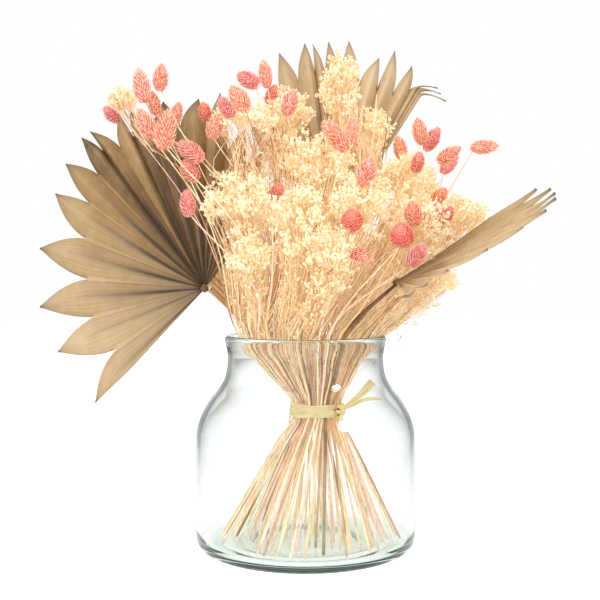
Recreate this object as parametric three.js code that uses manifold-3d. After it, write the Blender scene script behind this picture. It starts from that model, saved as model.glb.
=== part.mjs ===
// A clear glass vase with a bunch of dried flowers, in millimetres, +Z up, standing on z = 0.
// Every stem follows one spiral flow: a bunch tied at its waist, spread below on the vase's floor and
// above into a dome. The flow is linear at each height, so stems in different cells never cross.
import * as THREE from "three";
import Module from "manifold-3d";

const wasm = await Module();
wasm.setup();

// Vase
const BODY_R = 95;
const NECK_R = 67;
const LIP_R = 69.5;
const VASE_H = 182.5;
const FLOOR = 9;
const VASE_SIDES = 28;

// Flow of the bunch: height, spread, turn in degrees and the middle's X at each station
const STATIONS = [
  { z: FLOOR + 0.3, spread: 76, turn: -20, x: 3 },
  { z: 118, spread: 18.5, turn: 0, x: 9.5 },
  { z: 184, spread: 59, turn: 10, x: 0.5 },
  { z: 250, spread: 98, turn: 18, x: 20 },
  { z: 330, spread: 136, turn: 25, x: 36 },
  { z: 440, spread: 182, turn: 30, x: 40 },
];
const RINGS = 7;
const TIE_Z = 118;
const TIE_R = 18.5;
const RIM_Z = 184;
const LEAVE_Z = 255;

// Stems, flower heads and leaf
const STEM_R = 0.95;
const PETIOLE_R = 2.4;
const GAP = 0.45;
const LEAF_T = 1.3;
const HUB_R = 7;
const TUFT_R = 7.6;
const TUFTS = 7;
const SPRAY_STEMS = 5;

// The eye the places are seen from: in front of the axis, at this height
const EYE = 896;
const EYE_Z = 240;

const PALM_COLOUR = 0xa38a66;
const BROOM_COLOUR = 0xefe2bd;
const PINK_COLOUR = 0xe79a94;
const RAFFIA_COLOUR = 0xe3c877;
const GLASS_COLOUR = 0xdcebe6;

const vec = (x, y, z) => new THREE.Vector3(x, y, z);
const rad = THREE.MathUtils.degToRad;

function noise(i) {
  const s = Math.sin(i * 12.9898 + 4.1) * 43758.5453;
  return s - Math.floor(s);
}

// Where something seen at x, z in the plane of the axis lies when it is y behind that plane.
function seen(x, z, y) {
  const k = (EYE + y) / EYE;
  return vec(x * k, y, EYE_Z + (z - EYE_Z) * k);
}

// The flow at height z: its middle, and the factor (as a complex number) that places a cell.
function flowAt(z) {
  let i = 0;
  while (i < STATIONS.length - 2 && z > STATIONS[i + 1].z) i++;
  const a = STATIONS[i];
  const b = STATIONS[i + 1];
  const t = (z - a.z) / (b.z - a.z);
  const re = (1 - t) * a.spread * Math.cos(rad(a.turn)) + t * b.spread * Math.cos(rad(b.turn));
  const im = (1 - t) * a.spread * Math.sin(rad(a.turn)) + t * b.spread * Math.sin(rad(b.turn));
  return { x: (1 - t) * a.x + t * b.x, re, im };
}

function place(cell, z) {
  const f = flowAt(z);
  return vec(f.x + f.re * cell.x - f.im * cell.y, f.im * cell.x + f.re * cell.y, z);
}

// The place in the tied bunch whose stem would pass through p, kept inside the bunch.
function cellOf(p) {
  const f = flowAt(p.z);
  const n = f.re * f.re + f.im * f.im;
  const x = ((p.x - f.x) * f.re + p.y * f.im) / n;
  const y = (p.y * f.re - (p.x - f.x) * f.im) / n;
  const over = Math.max(1, Math.hypot(x, y));
  return { x: x / over, y: y / over, outside: over > 1 };
}

// The same for an end that may lie beyond the bunch, which its stem leaves at LEAVE_Z.
function wishFor(p) {
  const wish = cellOf(p);
  return wish.outside ? { ...cellOf(p.clone().setZ(LEAVE_Z)), outside: true } : wish;
}

const cells = [];
for (let k = 0; k <= RINGS; k++) {
  for (let j = 0; j < Math.max(1, 6 * k); j++) {
    const a = ((j + 0.5 * (k % 2)) / Math.max(1, 6 * k)) * 2 * Math.PI;
    cells.push({ x: (k / RINGS) * Math.cos(a), y: (k / RINGS) * Math.sin(a), used: false });
  }
}
const PITCH = 1 / RINGS;

function nearest(wish, allowed) {
  const free = cells.filter((c) => !c.used && (!allowed || allowed(c)));
  const far = (c) => Math.hypot(c.x - wish.x, c.y - wish.y);
  return free.reduce((best, c) => (best && far(best) <= far(c) ? best : c), null);
}

function take(wish, allowed) {
  const cell = nearest(wish, allowed);
  if (cell) cell.used = true;
  return cell;
}

// A closed body from its points and outward triangles.
function body(points, triVerts) {
  const vertProperties = new Float32Array(points.flatMap((p) => [p.x, p.y, p.z]));
  return new wasm.Manifold(
    new wasm.Mesh({ numProp: 3, vertProperties, triVerts: new Uint32Array(triVerts) }),
  );
}

// A body from rings of points that run along it, each end closed by a point or by the ring itself.
function skin(rings, first, last) {
  const n = rings[0].length;
  const points = rings.flat();
  const tris = [];
  for (let i = 0; i < rings.length - 1; i++) {
    for (let j = 0; j < n; j++) {
      const a = i * n + j;
      const b = i * n + ((j + 1) % n);
      tris.push(a, b, b + n, a, b + n, a + n);
    }
  }
  const top = (rings.length - 1) * n;
  if (first) points.push(first);
  const low = points.length - 1;
  if (last) points.push(last);
  const high = points.length - 1;
  for (let j = 0; j < n; j++) {
    if (first) tris.push(low, (j + 1) % n, j);
    else if (j > 1) tris.push(0, j, j - 1);
    if (last) tris.push(high, top + j, top + ((j + 1) % n));
    else if (j > 1) tris.push(top, top + j - 1, top + j);
  }
  return body(points, tris);
}

// Two directions square to d, so that a ring drawn from them runs anticlockwise round d.
function across(d) {
  const u = Math.abs(d.z) > 0.9 ? vec(1, 0, 0) : vec(0, 0, 1);
  u.addScaledVector(d, -u.dot(d)).normalize();
  return [u, d.clone().cross(u)];
}

function ring(centre, u, v, radius, sides, turn) {
  return Array.from({ length: sides }, (_, j) => {
    const a = turn + (j / sides) * 2 * Math.PI;
    return centre
      .clone()
      .addScaledVector(u, radius * Math.cos(a))
      .addScaledVector(v, radius * Math.sin(a));
  });
}

// A stem along its path, level where it stands on the floor.
function stem(path, radii, sides, turn) {
  const x = vec(1, 0, 0);
  const rings = path.map((p, i) => {
    const d = path[Math.min(i + 1, path.length - 1)].clone().sub(path[Math.max(i - 1, 0)]).normalize();
    if (i === 0 && p.z < FLOOR + 1) return ring(p, x, vec(0, 1, 0), radii[0], sides, turn);
    const u = x.clone().addScaledVector(d, -x.dot(d)).normalize();
    return ring(p, u, d.clone().cross(u), radii[Math.min(i, radii.length - 1)], sides, turn);
  });
  return skin(rings);
}

// The path of a stem in a cell up to its end. It follows the flow up to height leave, to end where asked.
function pathTo(cell, leave, end) {
  const path = [STATIONS[0].z, TIE_Z, RIM_Z].map((z) => place(cell, z));
  STATIONS.slice(3).forEach((s) => {
    if (s.z < leave - 15) path.push(place(cell, s.z));
  });
  if (leave > RIM_Z + 6 && leave < end.z) path.push(place(cell, leave));
  path.push(end);
  return path;
}

// What is already there: rods from a to b with a radius, each with the stem or leaf it belongs to.
const rods = [];
const addRod = (owner, a, b, r) => rods.push({ owner, a, b, r });

function addPath(owner, path, r) {
  path.slice(1).forEach((p, i) => addRod(owner, path[i], p, r));
}

function distance(p, q, a, b) {
  const d1 = q.clone().sub(p);
  const d2 = b.clone().sub(a);
  const w = p.clone().sub(a);
  const A = Math.max(d1.dot(d1), 1e-9);
  const E = Math.max(d2.dot(d2), 1e-9);
  const B = d1.dot(d2);
  const clamp = (t) => Math.min(1, Math.max(0, t));
  const den = A * E - B * B;
  let s = den > 1e-9 ? clamp((B * d2.dot(w) - E * d1.dot(w)) / den) : 0;
  const t = clamp((B * s + d2.dot(w)) / E);
  s = clamp((B * t - d1.dot(w)) / A);
  return p.clone().addScaledVector(d1, s).distanceTo(a.clone().addScaledVector(d2, t));
}

function isClear(owner, p, q, r) {
  return rods.every((o) => {
    if (o.owner === owner) return true;
    const reach = o.r + r + GAP;
    const lo = Math.min(o.a.z, o.b.z) - reach;
    const hi = Math.max(o.a.z, o.b.z) + reach;
    if (Math.max(p.z, q.z) < lo || Math.min(p.z, q.z) > hi) return true;
    return distance(p, q, o.a, o.b) > reach;
  });
}

const group = new THREE.Group();

function add(name, solid, colour, roughness, extra = {}) {
  const m = solid.getMesh();
  const geometry = new THREE.BufferGeometry();
  const position = new Float32Array(m.numVert * 3);
  for (let i = 0; i < m.numVert; i++) {
    position.set(m.vertProperties.subarray(i * m.numProp, i * m.numProp + 3), i * 3);
  }
  geometry.setAttribute("position", new THREE.BufferAttribute(position, 3));
  geometry.setIndex(new THREE.BufferAttribute(m.triVerts, 1));
  const material = new THREE.MeshStandardMaterial({ color: colour, roughness, metalness: 0, ...extra });
  const mesh = new THREE.Mesh(geometry, material);
  mesh.name = name;
  group.add(mesh);
}

const joined = (solids) => solids.reduce((a, b) => a.add(b));

// The glass: its outside from the middle of the base up to the lip, then its inside down again.
function vase() {
  const outside = [
    [0, 0],
    [84, 0],
    [91.5, 3.4],
    [BODY_R, 12],
    [BODY_R, 93],
    [92.6, 108],
    [84, 126],
    [72, 140],
    [67.6, 151],
    [NECK_R, 170],
    [LIP_R, 175],
    [LIP_R, 180.6],
    [67.6, VASE_H],
  ];
  const inside = [
    [65.4, VASE_H],
    [63.2, 176],
    [63.4, 151],
    [68.6, 137.5],
    [80.2, 124],
    [88.6, 107],
    [91, 91],
    [91, 20],
    [87, 12.4],
    [80, FLOOR],
    [0, FLOOR],
  ];
  const rings = [...outside, ...inside]
    .filter(([r]) => r > 0)
    .map(([r, z]) => ring(vec(0, 0, z), vec(1, 0, 0), vec(0, 1, 0), r, VASE_SIDES, 0));
  return skin(rings, vec(0, 0, 0), vec(0, 0, FLOOR));
}

// A thin sheet: one face's points and triangles, given thickness along the line of axis.
function sheet(points, tris, axis, thickness) {
  const count = points.length;
  const facing = new THREE.Triangle(...tris.slice(0, 3).map((i) => points[i])).getNormal(vec(0, 0, 0));
  const n = axis.clone().multiplyScalar(Math.sign(facing.dot(axis)));
  const all = [
    ...points.map((p) => p.clone().addScaledVector(n, thickness / 2)),
    ...points.map((p) => p.clone().addScaledVector(n, -thickness / 2)),
  ];
  const faces = [];
  const open = new Map();
  for (let i = 0; i < tris.length; i += 3) {
    const [a, b, c] = tris.slice(i, i + 3);
    faces.push(a, b, c, a + count, c + count, b + count);
    [[a, b], [b, c], [c, a]].forEach(([p, q]) => {
      if (!open.delete(q + "," + p)) open.set(p + "," + q, [p, q]);
    });
  }
  open.forEach(([p, q]) => faces.push(p, p + count, q + count, p, q + count, q));
  return body(all, faces);
}

// A pleated fan leaf. Tips are [degrees, reach] in the plane of out and side, in order; each segment
// folds up along its middle, and its neighbours are free beyond the share of the reach that the tip's
// third number or else cleft gives. A fourth number bends the tip by that many degrees. The first and
// the last segment are no wider than edge's two numbers of degrees beyond their middles.
function fan(leaf) {
  const { hub, out, side, tips, cleft, steep, bow, edge } = leaf;
  const n = out.clone().cross(side);
  const points = [];
  const tris = [];
  const put = (deg, r, lift) => {
    const a = rad(deg);
    const rise = lift + bow * (r / 150) ** 2;
    points.push(
      hub
        .clone()
        .addScaledVector(out, r * Math.cos(a))
        .addScaledVector(side, r * Math.sin(a))
        .addScaledVector(n, rise),
    );
    return points.length - 1;
  };
  const middle = (i) => (tips[i][0] + tips[i + 1][0]) / 2;
  const last = tips.length - 1;
  const valleys = [];
  for (let i = 0; i <= tips.length; i++) {
    const deg =
      i === 0
        ? tips[0][0] - Math.min(edge[0], middle(0) - tips[0][0])
        : i > last
          ? tips[last][0] + Math.min(edge[1], tips[last][0] - middle(last - 1))
          : middle(i - 1);
    const reach = Math.min(tips[Math.max(i - 1, 0)][1], tips[Math.min(i, last)][1]);
    const share = tips[Math.min(i, last)][2] ?? cleft;
    const r = reach * (share + 0.04 * (noise(i * 7 + hub.x) - 0.5));
    valleys.push({ deg, r, row: [put(deg, HUB_R, 0), put(deg, r, 0)] });
  }
  tips.forEach(([deg, reach, , bend = 0], i) => {
    const low = valleys[i];
    const high = valleys[i + 1];
    const r = (low.r + high.r) / 2;
    const half = rad(high.deg - low.deg) / 2;
    const height = (at) => Math.min(at * half * steep, 9);
    const ridge = [put(deg, HUB_R, 0.4), put(deg, r, height(r))];
    const far = r + (reach - r) * 0.5;
    const wide = half * r * 0.74;
    const turn = THREE.MathUtils.radToDeg(Math.atan2(wide, far));
    const sink = height(r) - wide * steep * 0.8;
    const midLow = put(deg + bend * 0.25 - turn, far, sink);
    const midHigh = put(deg + bend * 0.25 + turn, far, sink);
    const mid = put(deg + bend * 0.25, far, height(r) * 0.95);
    const tip = put(deg + bend + 3 * (noise(i * 3 + hub.z) - 0.5), reach, height(r) * 0.3);
    tris.push(low.row[0], low.row[1], ridge[1], low.row[0], ridge[1], ridge[0]);
    tris.push(ridge[0], ridge[1], high.row[1], ridge[0], high.row[1], high.row[0]);
    tris.push(low.row[1], midLow, mid, low.row[1], mid, ridge[1]);
    tris.push(ridge[1], mid, midHigh, ridge[1], midHigh, high.row[1]);
    tris.push(midLow, tip, mid, mid, tip, midHigh);
  });
  return { points, tris, n };
}

function palm(name, leaf) {
  const { points, tris, n } = fan(leaf);
  const blade = sheet(points, tris, n, LEAF_T);
  const cell = take(cellOf(leaf.hub), (c) => Math.hypot(c.x, c.y) < 0.9);
  cells.forEach((c) => {
    const d = Math.hypot(c.x - cell.x, c.y - cell.y) * TIE_R;
    if (d < PETIOLE_R + STEM_R + GAP) c.used = true;
  });
  const { hub, out } = leaf;
  const path = pathTo(cell, RIM_Z, hub.clone().addScaledVector(out, leaf.grip ?? 6));
  const petiole = stem(path, [PETIOLE_R], 5, 0.3);
  const [u, v] = [out, leaf.side];
  const knob = skin([
    ring(hub.clone().addScaledVector(n, -2.4), u, v, 5, 7, 0),
    ring(hub, u, v, HUB_R + 3, 7, 0),
    ring(hub.clone().addScaledVector(n, 2.4), u, v, 5, 7, 0),
  ]);
  addPath(name, path, PETIOLE_R);
  addRod(name, hub, hub, HUB_R + 3);
  for (let i = 0; i < tris.length; i += 3) {
    const [a, b, c] = [0, 1, 2].map((k) => points[tris[i + k]]);
    const steps = Math.ceil(Math.max(a.distanceTo(b), b.distanceTo(c), c.distanceTo(a)) / 6);
    for (let j = 0; j <= steps; j++) {
      const p = a.clone().lerp(b, j / steps);
      const q = a.clone().lerp(c, j / steps);
      const parts = Math.max(1, Math.ceil(p.distanceTo(q) / 6));
      for (let k = 0; k < parts; k++) {
        const from = p.clone().lerp(q, k / parts);
        addRod(name, from, p.clone().lerp(q, (k + 1) / parts), 3);
      }
    }
  }
  add(name, joined([blade, knob, petiole]), PALM_COLOUR, 0.8);
}

// A canary grass head: staggered rows of scales, each row alternately out and in, on a slim core.
function head(from, to, width) {
  const d = to.clone().sub(from).normalize();
  const [u, v] = across(d);
  const length = from.distanceTo(to);
  const rows = 5;
  const scales = 4;
  const rings = [];
  for (let i = 0; i < rows; i++) {
    const t = (i + 0.35) / (rows - 0.2);
    const swell = Math.sin(Math.PI * Math.min(1, 0.14 + 0.84 * t ** 0.86)) ** 0.62;
    const points = [];
    for (let j = 0; j < 2 * scales; j++) {
      const proud = (i + j) % 2 === 0;
      const a = (j / (2 * scales)) * 2 * Math.PI;
      const r = (width / 2) * swell * (proud ? 1 : 0.72);
      const along = length * (t + (proud ? 0.05 : -0.04));
      points.push(
        from
          .clone()
          .addScaledVector(d, along)
          .addScaledVector(u, r * Math.cos(a))
          .addScaledVector(v, r * Math.sin(a)),
      );
    }
    rings.push(points);
  }
  return skin(rings, from.clone(), to.clone().addScaledVector(d, length * 0.06));
}

// A head as seen: foot x, z and tip x, z in the plane of the axis, depth y, and width.
// One too short for a real head points the rest of its length at the eye.
function phalaris(name, [x0, z0, x1, z1, y, width], index) {
  const foot = seen(x0, z0, y);
  const tip = seen(x1, z1, y);
  const flat = foot.distanceTo(tip);
  const full = 24 + 3 * noise(index);
  if (flat < full) tip.y -= Math.sqrt(full * full - flat * flat);
  const cell = take(wishFor(foot));
  const leave = Math.max(RIM_Z, Math.min(foot.z - 70, LEAVE_Z));
  const path = pathTo(cell, leave, foot.clone().lerp(tip, 0.3));
  const solid = joined([
    stem(path, [STEM_R], 3, 6 * noise(index + 50)),
    head(foot, tip, Math.max(width, 10)),
  ]);
  addPath(name, path, STEM_R);
  addRod(name, foot.clone().lerp(tip, 0.3), foot.clone().lerp(tip, 0.72), width / 2);
  add(name, solid, PINK_COLOUR, 0.85);
}

// A tuft of florets on its branchlet, rooted in a stem: a three-pointed star with a raised middle.
function tuft(root, centre, r, turn) {
  const d = centre.clone().sub(root).normalize();
  const [u, v] = across(d);
  const at = (t) => centre.clone().addScaledVector(d, t * r);
  return skin(
    [
      ring(root, u, v, 0.75, 3, turn),
      ring(at(-0.2), u, v, r, 3, turn),
      ring(at(0.3), u, v, r * 0.72, 3, turn + Math.PI / 3),
    ],
    undefined,
    at(0.85),
  );
}

// Where a path is at height z.
function pathAt(path, z) {
  let i = 0;
  while (i < path.length - 2 && z > path[i + 1].z) i++;
  const t = (z - path[i].z) / (path[i + 1].z - path[i].z);
  return path[i].clone().lerp(path[i + 1], Math.min(1, Math.max(0, t)));
}

// The stems of two sprays of broom, side by side in the tied bunch and grown together there.
function broomStems(name, sprays) {
  const aims = sprays.map(([x, z, y]) => seen(x, z, y));
  const wishes = aims.map(wishFor);
  const ties = [];
  const to = (c, w) => Math.hypot(c.x - w.x, c.y - w.y);
  const centre = { x: (wishes[0].x + wishes[1].x) / 2, y: (wishes[0].y + wishes[1].y) / 2 };
  const order = cells.filter((c) => !c.used).sort((p, q) => to(p, centre) - to(q, centre));
  let own = [];
  for (const start of order) {
    own = [start];
    let next = start;
    while (next && own.length < SPRAY_STEMS) {
      next = order.find((c) => !own.includes(c) && own.some((o) => to(o, c) < 1.2 * PITCH));
      if (next) own.push(next);
    }
    if (own.length === SPRAY_STEMS) break;
  }
  own.forEach((cell, i) => {
    cell.used = true;
    const mates = own.slice(0, i).sort((p, q) => to(p, cell) - to(q, cell));
    if (i) ties.push(stem([place(mates[0], TIE_Z), place(cell, TIE_Z)], [0.8], 3, i));
  });
  own.sort((p, q) => to(p, wishes[0]) - to(p, wishes[1]) - (to(q, wishes[0]) - to(q, wishes[1])));
  const half = Math.ceil(own.length / 2);
  const made = sprays.map(([, , , wide, high], s) => {
    const aim = aims[s];
    const outside = wishes[s].outside;
    const mine = s === 0 ? own.slice(0, half) : own.slice(half);
    const ends = mine.map((c, i) => place(c, aim.z + high * (0.1 + 0.35 * noise(i + aim.x))));
    const middle = ends.reduce((sum, e) => sum.add(e), vec(0, 0, 0)).multiplyScalar(1 / ends.length);
    const shift = aim.clone().sub(middle).setZ(0);
    shift.multiplyScalar(outside ? 1 : 0);
    const paths = mine.map((c, i) => pathTo(c, outside ? LEAVE_Z : ends[i].z, ends[i].clone().add(shift)));
    paths.forEach((p, i) => addPath(name + s + i, p, STEM_R));
    const at = aim.clone().lerp(middle.clone().add(shift), 0.45);
    at.z = aim.z;
    return { name: name + s, paths, at, wide, high };
  });
  return { made, ties };
}

// The tufts of one spray, spread over its dome and kept clear of everything but their own stem.
function tufts({ name, paths, at, wide, high }, seed) {
  const solids = [];
  for (let i = 0; i < TUFTS; i++) {
    for (let attempt = 0; attempt < 9; attempt++) {
      const k = seed + i * 17 + attempt * 101;
      const up = 1 - (1.5 * (i + 0.5)) / TUFTS;
      const round = i * 2.399963 + attempt * 0.7 + seed;
      const flat = Math.sqrt(1 - up * up);
      const share = (i % 4 === 3 ? 0.5 : 0.86) + 0.14 * noise(k) - 0.06 * attempt;
      const out = vec(wide * flat * Math.cos(round), wide * flat * Math.sin(round), high * up);
      const centre = at.clone().addScaledVector(out, share);
      const r = TUFT_R * (0.85 + 0.3 * noise(k + 3)) * (attempt > 5 ? 0.8 : 1);
      const away = paths.map((p) => pathAt(p, centre.z - 14).distanceTo(centre));
      const own = away.indexOf(Math.min(...away));
      const reach = pathAt(paths[own], centre.z).sub(centre).setZ(0).length();
      const root = pathAt(paths[own], Math.max(RIM_Z + 12, centre.z - 9 - reach));
      const neck = root.clone().lerp(centre, 0.5);
      const lip = Math.hypot(centre.x, centre.y) > 55 && centre.z < VASE_H + 12;
      if (lip || root.distanceTo(centre) < r + 4) continue;
      if (!isClear(name + own, root, neck, 1.2) || !isClear(name + own, neck, centre, r * 0.6)) continue;
      if (!isClear("", centre, centre, r)) continue;
      addRod(name + own, root, neck, 1.2);
      addRod(name + "tuft", neck, centre, r * 0.6);
      addRod(name + "tuft", centre, centre, r);
      solids.push(tuft(root, centre, r, 6 * noise(k + 9)));
      break;
    }
  }
  return solids;
}

// Raffia round the waist of the bunch, with a knot and two loose ends.
function raffia() {
  const middle = place({ x: 0, y: 0 }, TIE_Z);
  const profile = [
    [21.4, 0],
    [23.2, -4.6],
    [24.6, -3.1],
    [23.4, -1.1],
    [24.2, 1.1],
    [24.8, 3.4],
    [23.8, 4.5],
  ];
  const sides = 18;
  const points = profile.flatMap(([r, z], i) =>
    ring(middle.clone().setZ(TIE_Z + z), vec(1, 0, 0), vec(0, 1, 0), r, sides, 0).map((p, j) =>
      p.setZ(p.z + (i === 0 ? 0 : 0.5 * Math.sin(j * 1.4))),
    ),
  );
  const tris = [];
  profile.forEach((_, i) => {
    const next = (i + 1) % profile.length;
    for (let j = 0; j < sides; j++) {
      const k = (j + 1) % sides;
      const [a, b, c, d] = [i * sides + j, i * sides + k, next * sides + k, next * sides + j];
      tris.push(a, b, c, a, c, d);
    }
  });
  const band = body(points, tris);
  const heart = vec(29, -16.5, 119.2);
  const knot = skin(
    [-3.6, -1.6, 1.4, 3.4].map((h, i) =>
      ring(heart.clone().add(vec(0.2 * h, 0, h)), vec(1, 0, 0), vec(0, 1, 0), [2.2, 4.1, 4.4, 2.4][i], 6, i * 0.4),
    ),
  );
  const ends = [
    { line: [[30, -16.5, 119.5], [38, -18, 125], [48, -19, 133.5], [56, -20, 143.5]], wide: [2.4, 3.6, 6, 7.4] },
    { line: [[30, -17, 120], [41, -18.5, 124.5], [53, -19, 128.5], [64, -18, 128.5]], wide: [2, 2.4, 2.6, 1.8] },
    { line: [[29.5, -17.5, 118], [30, -20.5, 113], [27, -23, 109.5]], wide: [2, 2.4, 2.2] },
  ];
  const loose = ends.map(({ line, wide }) => {
    const along = line.map((p) => vec(...p));
    const points2 = along.flatMap((p, i) => {
      const d = along[Math.min(i + 1, along.length - 1)].clone().sub(along[Math.max(i - 1, 0)]);
      const up = vec(0, 1, 0).cross(d).normalize();
      return [p.clone().addScaledVector(up, -wide[i] / 2), p.clone().addScaledVector(up, wide[i] / 2)];
    });
    const faces = [];
    for (let i = 0; i < along.length - 1; i++) {
      faces.push(2 * i, 2 * i + 1, 2 * i + 3, 2 * i, 2 * i + 3, 2 * i + 2);
    }
    return sheet(points2, faces, vec(0, 1, 0), 0.9);
  });
  return joined([band, knot, ...loose]);
}

const palms = {
  palm_leaf_left: {
    hub: vec(-90, 31, 222),
    out: vec(1, 0, 0),
    side: vec(0, 0.1, 1).normalize(),
    tips: [
      [57, 84], [68, 134], [77, 149], [86, 181], [94, 175], [104.5, 177], [114, 178], [117.5, 180],
      [125.3, 180], [128.3, 180], [138.3, 172, 0.81], [149, 162, 0.795], [165.6, 154, 0.745],
      [185, 149, 0.706], [203.7, 142.7, 0.7], [225.5, 140, 0.69],
    ],
    cleft: 0.84,
    steep: 0.85,
    bow: -8,
    edge: [5, 2],
  },
  palm_leaf_back: {
    hub: vec(27, 64, 272),
    out: vec(1, 0, 0),
    side: vec(0, 0.2, 1).normalize(),
    tips: [
      [59.2, 170, 0.93, -7.2], [60.3, 173, 0.93, -7], [61.5, 176, 0.93, -6.5], [64.6, 183, 0.89],
      [71, 192], [76.8, 180], [84.5, 193], [91.2, 192], [94.6, 191], [98.2, 192], [106.7, 187],
      [117, 150], [126, 130],
    ],
    cleft: 0.81,
    steep: 0.95,
    bow: -6,
    edge: [2, 5],
  },
  palm_leaf_right: {
    hub: vec(74, -53, 229.6),
    out: vec(0.88, -0.05, 0.46).normalize(),
    side: vec(0.0169, -0.99, -0.11).normalize(),
    tips: [
      [-19, 150], [-6, 147], [7, 143], [18, 142], [29, 138], [41, 127], [54, 109], [67, 86],
      [80, 90, 0.8], [90, 92, 0.97],
    ],
    cleft: 0.7,
    steep: 0.5,
    bow: -9,
    edge: [6, 6],
  },
};

// Heads as seen: foot x, z; tip x, z; depth; width
const heads = [
  [-139, 383, -145, 415, -32, 14.7],
  [-126, 393, -123, 417, -24, 12.1],
  [-127, 371, -133, 393, -2, 10.4],
  [-162, 367, -170, 376, 0, 10],
  [-132, 352, -145, 380, -35, 13.8],
  [-123, 342, -118, 380, -74, 16.4],
  [-114, 363, -107, 383, -13, 10.2],
  [-89, 333, -111, 349, -46, 15.5],
  [-94, 316, -105, 332, -37, 13],
  [-101, 285, -101, 308, -69, 11.5],
  [-85, 367, -87, 381, -12, 10],
  [-82, 352, -72, 374, -22, 13.8],
  [-63, 370, -73, 386, -48, 12.1],
  [-51, 376, -65, 398, -70, 14.7],
  [-41, 398, -59, 405, -18, 13.8],
  [-33, 396, -37, 422, -6, 11.2],
  [-32, 380, -25, 396, 12, 11],
  [-17, 372, -9, 394, -48, 13],
  [36, 342, 13, 369, -72, 14.7],
  [40, 346, 41, 374, -32, 11.2],
  [49, 312, 57, 336, -96, 14.7],
  [41, 276, 38, 288, -112, 16.4],
  [-29, 301, -19, 310, -80, 10.4],
  [38, 254, 56, 248, -97, 10.4],
  [101, 347, 95, 371, -22, 12.1],
  [104, 342, 114, 361, 12, 12.1],
  [84, 333, 78, 355, 18, 11.2],
  [114, 332, 134, 344, -14, 11],
  [143, 344, 169, 346, 4, 12.1],
  [95, 323, 97, 339, -34, 10.4],
  [94, 276, 90, 299, -84, 13.8],
  [85, 262, 78, 276, -106, 18],
  [103, 273, 112, 296, -47, 15.5],
  [109, 295, 120, 308, -36, 11.2],
  [116, 277, 124, 293, -40, 11.2],
  [89, 242, 104, 262, -88, 13],
  [106, 236, 120, 243, -11, 10.4],
  [-66, 330, -80, 352, 62, 13],
  [-24, 290, -38, 308, 112, 14],
  [58, 318, 62, 342, 112, 14],
  [118, 322, 132, 342, 58, 13],
  [92, 268, 106, 286, 96, 13],
  [30, 376, 34, 399, 58, 12],
  [126, 270, 135, 290, 78, 12],
];

// Sprays of broom in pairs, each x, z of the middle as seen, depth, half width and half height
const brooms = [
  [[-58, 295, -50, 29, 26], [-46, 247, -66, 18, 20]],
  [[-52, 366, -6, 30, 19], [-159, 384, 4, 14, 13]],
  [[-12, 375, 8, 24, 22], [-66, 312, 40, 25, 17]],
  [[27, 397, 12, 18, 29], [57, 359, 22, 18, 21]],
  [[11, 331, -45, 31, 23], [-5, 286, -86, 28, 24]],
  [[47, 297, -82, 27, 26], [20, 256, -98, 21, 18]],
  [[80, 318, -13, 23, 21], [103, 282, -48, 25, 23]],
  [[136, 285, -5, 22, 17], [110, 229, 18, 23, 15]],
  [[-84, 240, 60, 22, 18], [-14, 258, 98, 25, 20]],
  [[24, 298, 112, 27, 24], [74, 260, 92, 24, 20]],
  [[88, 312, 72, 27, 24], [130, 287, 44, 22, 18]],
];

const label = (n) => String(n + 1).padStart(2, "0");

add("vase", vase(), GLASS_COLOUR, 0.05, { transparent: true, opacity: 0.35 });
add("raffia_tie", raffia(), RAFFIA_COLOUR, 0.8);
Object.entries(palms).forEach(([name, leaf]) => palm(name, leaf));
const broomNodes = brooms.map((sprays, i) => broomStems("broom_" + label(i), sprays));
heads.forEach((row, i) => phalaris("phalaris_" + label(i), row, i));
broomNodes.forEach(({ made, ties }, i) => {
  const sprigs = made.flatMap((s) => s.paths).map((p, k) => stem(p, [STEM_R], 3, 6 * noise(k + i * 31)));
  const blooms = made.flatMap((s, k) => tufts(s, i * 53 + k * 29));
  add("broom_" + label(i), joined([...sprigs, ...ties, ...blooms]), BROOM_COLOUR, 0.9);
});

export default group;
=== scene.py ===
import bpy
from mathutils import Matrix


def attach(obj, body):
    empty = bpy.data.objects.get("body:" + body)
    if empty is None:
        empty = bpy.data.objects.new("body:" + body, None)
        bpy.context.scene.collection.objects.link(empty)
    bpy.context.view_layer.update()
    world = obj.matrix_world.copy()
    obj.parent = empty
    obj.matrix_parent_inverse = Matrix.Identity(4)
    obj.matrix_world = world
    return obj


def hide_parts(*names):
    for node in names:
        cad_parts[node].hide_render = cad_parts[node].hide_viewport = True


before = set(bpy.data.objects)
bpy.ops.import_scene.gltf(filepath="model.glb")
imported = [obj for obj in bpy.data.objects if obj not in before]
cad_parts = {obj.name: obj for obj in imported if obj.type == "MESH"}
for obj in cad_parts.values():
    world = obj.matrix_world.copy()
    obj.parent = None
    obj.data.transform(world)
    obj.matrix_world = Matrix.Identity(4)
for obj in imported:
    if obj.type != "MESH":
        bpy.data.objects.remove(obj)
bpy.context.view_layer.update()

import math

import bpy
import numpy as np
from bpy.props import FloatProperty, FloatVectorProperty, IntProperty, PointerProperty

bl_info = {
    "name": "Vase of Dried Flowers",
    "version": (1, 0, 0),
    "blender": (4, 5, 0),
    "location": "View3D > Sidebar > Bunch",
    "description": "Dresses a clear glass vase and its tied bunch of palm leaves, canary grass and broom",
    "category": "Object",
}

MM = 0.001

# The eye the layout is seen from, in millimetres: in front of the axis, at this height
EYE = 896
EYE_Z = 240
PHOTO = 600
FOCUS = 1037.6
AXIS_COLUMN = 305.5
HORIZON_ROW = 268.2

# Flow of the bunch: height, spread, turn in degrees and the middle's X at each station
STATIONS = (
    (9.3, 76, -20, 3),
    (118, 18.5, 0, 9.5),
    (184, 59, 10, 0.5),
    (250, 98, 18, 20),
    (330, 136, 25, 36),
    (440, 182, 30, 40),
)
RINGS = 7
TIE_Z = 118
TIE_R = 18.5
RIM_Z = 184
LEAVE_Z = 255
SPRAY_STEMS = 5
CLEAR = 3.8

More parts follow.
